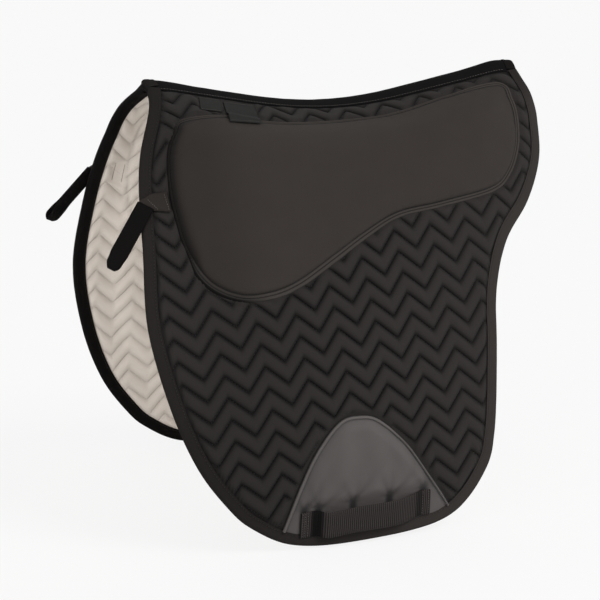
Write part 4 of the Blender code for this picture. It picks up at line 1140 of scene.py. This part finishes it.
def make_panel(side):
    rings = (0.0006, 0.0012, 0.0018, 0.0026, 0.0038, 0.0056, 0.0078, 0.0105, 0.015)
    flat, faces = filled(PANEL, rings, 0.006)
    inside = np.clip(distance_to(PANEL, flat), 0, None)
    front = toward_front(flat)
    rolled = PANEL_ROLL + (2 * FRONT_ROLL - PANEL_ROLL) * front
    share = np.clip((inside - PANEL_LIP) / rolled, 0, 1)
    roll = np.sqrt(1 - (1 - share) ** 2)
    crumple = wobble(flat, 70.0, 31.0) * np.exp(-inside / 0.012) * np.clip(inside / 0.003, 0, 1)
    edge = resampled(PANEL, 0.001, closed=True)
    nearest = np.array([np.argmin(((edge - p) ** 2).sum(1)) for p in flat])
    tucks = np.array([noise.noise(Vector((k * 0.16, 3.0, 0.0))) for k in nearest])
    tucks = tucks * np.clip((inside - 0.0012) / 0.003, 0, 1) * np.exp(-inside / 0.007)
    slow = wobble(flat, 9.0, 33.0)
    dome = PANEL_DOME * smooth_step(inside / 0.06)
    upper = ramp(flat[:, 1], 0.12, -0.03)
    level = 1 - (0.40 + 0.32 * upper) * (1 - front) * (1 - smooth_step(inside / 0.050))
    top = PANEL_LIP + (PANEL_TOP - PANEL_LIP) * roll * level + dome + 0.0005 * slow * roll
    top = top + 0.00035 * crumple + 0.0014 * tucks
    bottom = np.full(len(flat), 0.0004)
    rear = np.maximum(ramp(flat[:, 0], 0.175, 0.030), upper)
    # Painted shade along the panel's edge, wider at the front and a little at the top and rear, and
    # the panel painted darker towards its front
    panel_painted_shade = np.clip(inside - PANEL_LIP, 0, None) / (0.0011 + 0.0059 * front + 0.0008 * rear)
    panel_painted_shade = 1 - (0.75 + 0.13 * front + 0.1 * rear * (1 - front)) * np.exp(-(panel_painted_shade**2))
    panel_painted_shade = panel_painted_shade * (1 - 0.28 * ramp(flat[:, 0], -0.12, -0.10))
    piece = slab(f"{side}_saddle_panel", side, flat, faces, top, bottom, panel_painted_shade, sharp=80.0)
    place(piece, side, PANEL_CLOTH, "canvas", [f"{side}_panel_cover", f"{side}_panel_foam"])
    path = resampled(PANEL, 0.003, closed=True)
    lifts = np.tile(PANEL_FLANGE[:, 1], (len(path), 1))
    lifts = 0.0003 + (lifts - 0.0003) * (1 + 0.16 * wobble(path, 120.0, 35.0)[:, None])
    # Painted shadow over the flange's outer edge and painted shade over the rest of it along the
    # lower front, and more painted shade at the front
    front_painted_shadow = ramp(path[:, 0], -0.135, -0.045) * ramp(path[:, 1], 0.07, 0.03)
    outer_edge = np.where(np.arange(len(PANEL_FLANGE)) < 4, 1.0, 0.42)
    shade = FLANGE_SHADE[None, :] * (1 - outer_edge[None, :] * front_painted_shadow[:, None])
    shade = shade * (1 - 0.5 * toward_front(path))[:, None]
    piece = sweep(f"{side}_panel_flange", side, path, PANEL_FLANGE, closed=True, lifts=lifts,
                  widths=flange_width(path), shade=shade)
    place(piece, side, CORD_CLOTH, "canvas", [f"{side}_panel_piping"])
    sew(f"{side}_panel_flange_stitching", side, [inset(PANEL, -FLANGE_SEAM)], 0.0010,
        DARK_THREAD, "canvas", pitch=0.0034, length=0.0024, closed=True)
    sew(f"{side}_panel_seam_stitching", side, [PANEL_SEAM],
        lambda starts, ends: lining_lift(starts, 0.0009), PALE_THREAD, "lining_cotton", closed=True)


# The girth patch and its webbing


def band_sag(along):
    """How far the webbing hangs below its straight centre line, most in its middle."""
    places, hangs = BAND_SHIFTS.T
    return sum(np.interp(along + aside, places, hangs) for aside in (-0.003, 0.0, 0.003)) / 3


def band_place(points):
    """Way along the webbing and down from its centre line, for flat points."""
    along, down = np.linalg.solve(np.column_stack([BAND_ALONG, BAND_DOWN]), (points - BAND_START).T)
    return along, down - band_sag(along)


def girth_band_rise(along):
    front = smooth_step((along - GIRTH_BAND_SEWN_END) / GIRTH_BAND_RISE)
    sewn_rear = GIRTH_BAND_LENGTH - 0.6 * GIRTH_BAND_SEWN_END
    rear = smooth_step((sewn_rear - along) / (2.5 * GIRTH_BAND_RISE))
    sewn = SEAT_GAP + PATCH_THICKNESS + EDGE_GAP
    return sewn + (GIRTH_SLOT_HEIGHT - EDGE_GAP) * np.minimum(front, rear)


def make_patch(side):
    bound = inset(FLAP, BINDING_WIDTH - PATCH_TUCK)
    arch = PATCH_LINE[distance_to(bound, PATCH_LINE) > 0.001]
    hem = EDGE + path_normals(EDGE, False) * (BINDING_WIDTH - PATCH_TUCK)
    hem = hem[hem[:, 1] > 0.5]
    hem = hem[(hem[:, 0] > arch[0, 0] + 0.002) & (hem[:, 0] < arch[-1, 0] - 0.002)]
    loop = resampled(np.vstack([arch, hem[::-1]]), 0.0025, closed=True)
    flat, faces = filled(loop, (0.0008, 0.002, 0.004, 0.007), 0.0028)
    below_hem = [(0.03, 0.66), (-0.10, 0.66)]
    inside = np.clip(distance_to(np.vstack([PATCH_LINE, below_hem]), flat), 0, None)
    from_hem = np.clip(distance_to(bound, flat), 0, None)
    along, down = band_place(flat)
    above = -(down + GIRTH_BAND_WIDTH / 2)
    bulge = PATCH_BULGE * smooth_step(inside / 0.018) * ramp(above, -0.002, 0.020)
    folds, shade = np.zeros(len(flat)), np.ones(len(flat))
    for k, gather in enumerate(GATHERS):
        raised = ramp(gather, 0.018, 0.016) * ramp(gather, 0.150, -0.010)
        aside, up = along - gather, above - 0.0015 - 0.0020 * raised
        away = np.hypot(aside, np.clip(up, 0, None))
        size = DEEP_GATHER if 1 < k < 4 else SHALLOW_GATHER
        folds -= size * bell(away, 0.0050)
        # Painted shade in the gather's pit
        spot = np.exp(-((aside / 0.0050) ** 4)) * bell(np.clip(up, 0, None), 0.0045)
        shade *= 1 - GATHER_DARK * spot
        for turn, reach in CREASES:
            turn += 0.22 * math.sin(3.1 * k + 5 * turn)
            forward = aside * math.sin(turn) + up * math.cos(turn)
            off = aside * math.cos(turn) - up * math.sin(turn)
            crease = bell(off, 0.0014 + 0.13 * np.abs(forward))
            crease = crease * np.exp(-np.abs(forward) / reach) * (forward > 0)
            folds -= CREASE_DEPTH * size * crease
            # Painted shade in the crease
            shade *= 1 - CREASE_DARK * crease
    drape = 0.0009 * np.sin(along * 2 * math.pi / 0.043 + 0.6) * smooth_step(above / 0.02)
    uneven = 0.0003 * wobble(flat, 60.0, 41.0) + drape * smooth_step(inside / 0.03)
    folds = np.maximum(folds + uneven, -0.0010 - 0.7 * bulge)
    top = SEAT_GAP + PATCH_THICKNESS + bulge + folds
    top = np.where(above < -0.001, np.minimum(top, SEAT_GAP + PATCH_THICKNESS + 0.0003), top)
    top = 0.0010 + (top - 0.0010) * ramp(from_hem, -0.0005, 0.004)
    bottom = np.full(len(flat), SEAT_GAP - 0.0004)
    # Painted shade inside the piping, stronger and wider on the left, more painted shade towards
    # the patch's edges, and a painted shadow under the webbing
    painted_shade_left = 1 + ramp(flat[:, 0], -0.02, -0.06)
    shade *= 1 - (0.35 + 0.25 * painted_shade_left) * bell(inside, 0.0020 + 0.0014 * painted_shade_left)
    shade *= 1 - 0.22 * np.exp(-inside / 0.012)
    under = smooth_step((down - GIRTH_BAND_WIDTH / 2 + 0.003) / 0.002)
    shade *= 1 - 0.93 * under * smooth_step(along / 0.006) * ramp(along, 0.160, -0.006)
    piece = slab(f"{side}_girth_patch_cloth", side, flat, faces, top, bottom, shade, sharp=80.0)
    place(piece, side, PATCH_CLOTH, "coated_patch", [f"{side}_girth_patch"], rides=f"{side}_flap")
    radius = PATCH_PIPING / 2
    path = PATCH_LINE + path_normals(PATCH_LINE, False) * (-(radius + 0.0002))
    path = path[distance_to(inset(FLAP, 0.012), path) > 0]
    cord = round_profile(radius, 0.0006 + radius)
    thinner = 1 - 0.35 * ramp(path[:, 0], -0.02, 0.04)
    piece = sweep(f"{side}_girth_patch_cord", side, path, cord, widths=thinner)
    place(piece, side, PAINTED_LIGHT_PATCH_CORD, "coated_patch", [f"{side}_girth_patch_piping"],
          rides=f"{side}_flap")


def make_webbing(side):
    along = np.linspace(0, GIRTH_BAND_LENGTH, 421)
    across = np.array((-0.5, -0.485, -0.46, -0.3, -0.1, 0.1, 0.3, 0.46, 0.485, 0.5))
    across = across * GIRTH_BAND_WIDTH
    way, aside = (grid.ravel() for grid in np.meshgrid(along, across, indexing="ij"))
    down = aside + band_sag(way)
    flat = BAND_START + way[:, None] * BAND_ALONG + down[:, None] * BAND_DOWN
    low = girth_band_rise(way)
    selvedge = smooth_step((0.5 - np.abs(aside) / GIRTH_BAND_WIDTH) / 0.035)
    ridge = np.sin(math.pi * way / RIB_PITCH) ** 2
    rib = RIB_HEIGHT * ridge
    fold = np.exp(-(((way - FRONT_FOLD) / FRONT_FOLD_WIDTH) ** 6))
    far_fold = np.exp(-(((way - GIRTH_BAND_LENGTH + REAR_FOLD) / REAR_FOLD_WIDTH) ** 4))
    # Painted shade between the ribs, and painted shadow at the loop's fold near each end
    shade = (0.10 + 0.90 * ridge) * (1 - 0.97 * fold) * (1 - 0.6 * far_fold)
    sag = 0.0006 * wobble(flat, 24.0, 51.0)
    thick = GIRTH_BAND_THICKNESS * (0.55 + 0.45 * selvedge)
    top = low + thick + rib * selvedge + sag * ramp(low, 0.0026, 0.004)
    quads = grid_quads(len(along), len(across))
    piece = slab(f"{side}_girth_webbing", side, flat, quads, top, top - thick, shade, sharp=70.0)
    place(piece, side, WEBBING, "webbing", [f"{side}_girth_loop"], rides=f"{side}_flap")
    reach = np.array((-0.46, 0.46)) * GIRTH_BAND_WIDTH
    rows = [
        BAND_START + u * BAND_ALONG + (reach + band_sag(u))[:, None] * BAND_DOWN for u in BAND_SEAMS
    ]
    sew(f"{side}_girth_webbing_stitching", side, rows,
        girth_band_rise(0.0) + GIRTH_BAND_THICKNESS + RIB_HEIGHT, GREY_THREAD, "webbing",
        rides=f"{side}_flap", pitch=0.0030, length=0.0021)


# The front strap and its tab


def strap_frame(side):
    """Where the strap leaves its tab, and the ways along it, off the cloth and across it."""
    x, v = pattern_points([STRAP_ROOT])[0]
    toward = np.array((-math.cos(STRAP_ANGLE), math.sin(STRAP_ANGLE))) * 0.0005
    level = SEAT_GAP + BINDING_THICKNESS + EDGE_GAP + TAB_THICKNESS / 2
    spots = np.array([(x, v), (x + toward[0], v + toward[1])])
    root, ahead = laid(side, spots[:, 0], spots[:, 1], np.full(2, level))
    above = laid(side, spots[:1, 0], spots[:1, 1], np.full(1, level + 0.0005))[0]
    along = (ahead - root) / np.linalg.norm(ahead - root)
    away = above - root
    away -= along * (away @ along)
    away /= np.linalg.norm(away)
    return root, along, away, np.cross(along, away)


def make_strap(side):
    """Doubled webbing that parts and turns round at its end."""
    eye_start = STRAP_LENGTH - STRAP_EYE_LENGTH
    cap_start = STRAP_LENGTH - STRAP_PLY - STRAP_CAP
    lengths = np.concatenate([
        np.arange(-0.0015, eye_start, 0.001), np.arange(eye_start, cap_start, 0.001),
    ])
    gaps = STRAP_EYE_SHOWN / 2 * smooth_step((lengths - eye_start) / (cap_start - eye_start))
    turns = np.linspace(0, math.pi / 2, 10)
    half = STRAP_PLY / 2
    upper = np.column_stack([lengths, gaps + half + 0.00004])
    reach = STRAP_CAP + half
    bulge = STRAP_EYE_SHOWN / 2 + half
    cap = np.column_stack([cap_start + reach * np.sin(turns), bulge * np.cos(turns)])
    path = np.vstack([upper, cap])
    path = np.vstack([path, (path * (1, -1))[-2::-1]])
    run = np.gradient(path, axis=0)
    run /= np.linalg.norm(run, axis=1)[:, None]
    normal = np.column_stack([-run[:, 1], run[:, 0]])
    wide, thick = STRAP_WIDTH / 2, half
    section = np.array([
        (-wide, -0.3 * thick), (-wide + 0.0004, -thick), (-wide / 2, -thick), (0, -thick),
        (wide / 2, -thick), (wide - 0.0004, -thick), (wide, -0.3 * thick), (wide, 0.3 * thick),
        (wide - 0.0004, thick), (wide / 2, thick), (0, thick), (-wide / 2, thick),
        (-wide + 0.0004, thick), (-wide, 0.3 * thick),
    ])
    root, along, away, across = strap_frame(side)
    lengths = np.concatenate([[0], np.cumsum(np.linalg.norm(np.diff(path, axis=0), axis=1))])
    rib = 0.00020 * np.abs(np.sin(math.pi * lengths / 0.0021))
    taper = 1 - 0.16 * ramp(path[:, 0], 0.062, 0.016)
    taper = taper - 0.50 * np.clip((path[:, 0] - 0.0775) / 0.0095, 0, 1) ** 2
    points, cloth = [], []
    for p, n, r, share, length in zip(path, normal, rib, taper, lengths):
        for w, t in section:
            level = t + math.copysign(r, t) - 0.00020 * (abs(t) > 0.9 * thick)
            q = p + n * level
            points.append(root + along * q[0] + away * q[1] + across * w * share)
            cloth.append((length, w))
    faces = tube_faces(len(path), len(section))
    name = f"{side}_strap_webbing"
    piece = outward(build(name, np.array(points), faces, np.array(cloth), sharp=60.0))
    place(piece, side, STRAP_WEBBING, "webbing", [f"{side}_front_strap"], rides=f"{side}_strap")


def make_tab(side):
    loop = resampled(TAB, 0.0015, closed=True)
    flat, faces = filled(loop, (0.0004, 0.001), 0.0016)
    inside = np.clip(distance_to(loop, flat), 0, None)
    low = SEAT_GAP + BINDING_THICKNESS + EDGE_GAP
    sewn = (TAB[3] + TAB[4]) / 2
    from_end = sewn[0] - flat[:, 0]
    curl = 0.0009 * bell(from_end, 0.0022) * (0.6 + 0.4 * np.sin(flat[:, 1] * 260))
    crease = 0.0005 * np.cos((flat[:, 1] - sewn[1]) * 2 * math.pi / 0.019)
    edge = 0.5 + 0.5 * smooth_step(inside / 0.0016)
    top = low + TAB_THICKNESS * edge + curl + crease * smooth_step(inside / 0.004)
    bottom = np.full(len(flat), low)
    piece = slab(f"{side}_strap_tab_cloth", side, flat, faces, top, bottom, sharp=60.0)
    place(piece, side, TAB_CLOTH, "webbing", [f"{side}_strap_tab"], rides=f"{side}_flap")
    rows = []
    for share in (0.28, 0.9):
        first, last = TAB[0] * (1 - share) + TAB[4] * share, TAB[1] * (1 - share) + TAB[3] * share
        rows.append(np.array([first * 0.94 + last * 0.06, first * 0.06 + last * 0.94]))
    sew(f"{side}_strap_tab_stitching", side, rows, low + TAB_THICKNESS + 0.0004,
        GREY_THREAD, "webbing", rides=f"{side}_flap", pitch=0.0028, length=0.0020)
    sew(f"{side}_tab_back_stitching", side, BAR_TACKS,
        lambda starts, ends: lining_lift(starts, 0.0004), TACK_THREAD, "lining_cotton",
        thread=0.0006, pitch=0.0024, length=0.0022)


# The two bare labels


def label_lift(points):
    """The height of a label's lower face, which climbs onto the panel's edge."""
    over_panel = 0.55 * PANEL_TOP + EDGE_GAP - LABEL_LIFT
    reach = 3 * PANEL_PIPING
    return LABEL_LIFT + over_panel * ramp(distance_to(PANEL, points), -reach, reach)


def make_label(name):
    loop = LABEL_LOOPS[name]
    share = np.linspace(0, 1, 25)
    u, w = (grid.ravel()[:, None] for grid in np.meshgrid(share, share, indexing="ij"))
    flat = (loop[0] * (1 - u) + loop[1] * u) * (1 - w) + (loop[3] * (1 - u) + loop[2] * u) * w
    low = label_lift(flat)
    wave = 0.0003 * wobble(flat, 90.0, 61.0) + 0.0004
    piece = slab(f"{name}_cloth", "left", flat, grid_quads(len(share), len(share)),
                 low + LABEL_THICKNESS + wave, low + wave, sharp=60.0)
    place(piece, "left", LABEL_CLOTH, "label_weave", [name])
    hem = loop * 0.9 + loop.mean(0) * 0.1
    sew(f"{name}_stitching", "left", [hem[[0, 1]], hem[[3, 2]]],
        lambda starts, ends: label_lift((starts + ends) / 2) + LABEL_THICKNESS + 0.0006,
        GREY_THREAD, "label_weave", thread=0.00022, pitch=0.0026, length=0.0019)


for flap_side in ("left", "right"):
    make_quilt(flap_side)
    chevron_stitches(flap_side)
    make_panel(flap_side)
    make_patch(flap_side)
    make_webbing(flap_side)
    make_tab(flap_side)
    make_strap(flap_side)
make_bindings()
make_tapes()
for label_name in LABELS:
    make_label(label_name)


# The studio


def make_floor():
    mesh = bpy.data.meshes.new("floor")
    level = cad_box[0][2] - 0.0015
    square = np.array([(-1, -1), (1, -1), (1, 1), (-1, 1)]) * FLOOR_REACH
    mesh.from_pydata([(x, y, level) for x, y in square], [], [(0, 1, 2, 3)])
    floor = linked("floor", mesh)
    material = bpy.data.materials.new("floor_white")
    material.use_nodes = True
    tree = material.node_tree
    shader = tree.nodes["Principled BSDF"]
    shader.inputs["Base Color"].default_value = (0.90, 0.90, 0.90, 1)
    shader.inputs["Roughness"].default_value = 1.0
    shader.inputs["Specular IOR Level"].default_value = 0.0
    glow = node(tree, "ShaderNodeEmission")
    glow.inputs["Strength"].default_value = 1.0
    ray = node(tree, "ShaderNodeLightPath")
    share = maths(tree, "MULTIPLY", ray.outputs["Is Camera Ray"], FLOOR_GLOW)
    mix = node(tree, "ShaderNodeMixShader")
    tree.links.new(share, mix.inputs[0])
    tree.links.new(shader.outputs[0], mix.inputs[1])
    tree.links.new(glow.outputs[0], mix.inputs[2])
    tree.links.new(mix.outputs[0], tree.nodes["Material Output"].inputs["Surface"])
    mesh.materials.append(material)


def lamp(name, kind, energy, place, toward=None, **settings):
    data = bpy.data.lights.new(name, kind)
    data.energy = energy
    for key, value in settings.items():
        setattr(data, key, value)
    made = linked(name, data)
    made.location = place
    if toward is not None:
        made.rotation_mode = "QUATERNION"
        made.rotation_quaternion = toward.to_track_quat("-Z", "Y")


def direction(azimuth, elevation):
    """The way from the pad to the camera or a lamp. At azimuth 0 it faces the pad's left side."""
    a, e = math.radians(azimuth), math.radians(elevation)
    return Vector((math.sin(a) * math.cos(e), -math.cos(a) * math.cos(e), math.sin(e)))


def make_lights():
    world = bpy.data.worlds.new("studio")
    bpy.context.scene.world = world
    world.use_nodes = True
    tree = world.node_tree
    tree.nodes.clear()
    output = node(tree, "ShaderNodeOutputWorld")
    ambient = node(tree, "ShaderNodeBackground")
    ambient.inputs["Strength"].default_value = AMBIENT
    shown = node(tree, "ShaderNodeBackground")
    shown.inputs["Strength"].default_value = 1.0
    ray = node(tree, "ShaderNodeLightPath")
    seen = maths(tree, "MAXIMUM", ray.outputs["Is Camera Ray"], ray.outputs["Is Transmission Ray"])
    mix = node(tree, "ShaderNodeMixShader")
    tree.links.new(seen, mix.inputs[0])
    tree.links.new(ambient.outputs[0], mix.inputs[1])
    tree.links.new(shown.outputs[0], mix.inputs[2])
    tree.links.new(mix.outputs[0], output.inputs[0])
    for name, azimuth, elevation, strength, spread in SUNS:
        back = direction(azimuth, elevation)
        lamp(name, "SUN", strength, back * 3, -back, angle=math.radians(spread))
    lamp("opening", "SPOT", OPENING_POWER, OPENING_LAMP, OPENING_AIM - OPENING_LAMP,
         shadow_soft_size=0.16, spot_size=math.radians(OPENING_SPREAD), spot_blend=0.7)
    lamp("rear_soft", "POINT", REAR_POWER, REAR_LAMP, shadow_soft_size=0.30)


def make_camera():
    back = direction(CAMERA_AZIMUTH, CAMERA_ELEVATION)
    data = bpy.data.cameras.new("camera")
    data.sensor_width = 36.0
    data.lens = FOCAL_SHARE * data.sensor_width
    camera = linked("camera", data)
    camera.location = Vector(CAMERA_TARGET) + back * CAMERA_DISTANCE
    camera.rotation_mode = "QUATERNION"
    camera.rotation_quaternion = (-back).to_track_quat("-Z", "Y")
    bpy.context.scene.camera = camera


make_floor()
make_lights()
make_camera()
bpy.context.scene.view_settings.view_transform = "Standard"
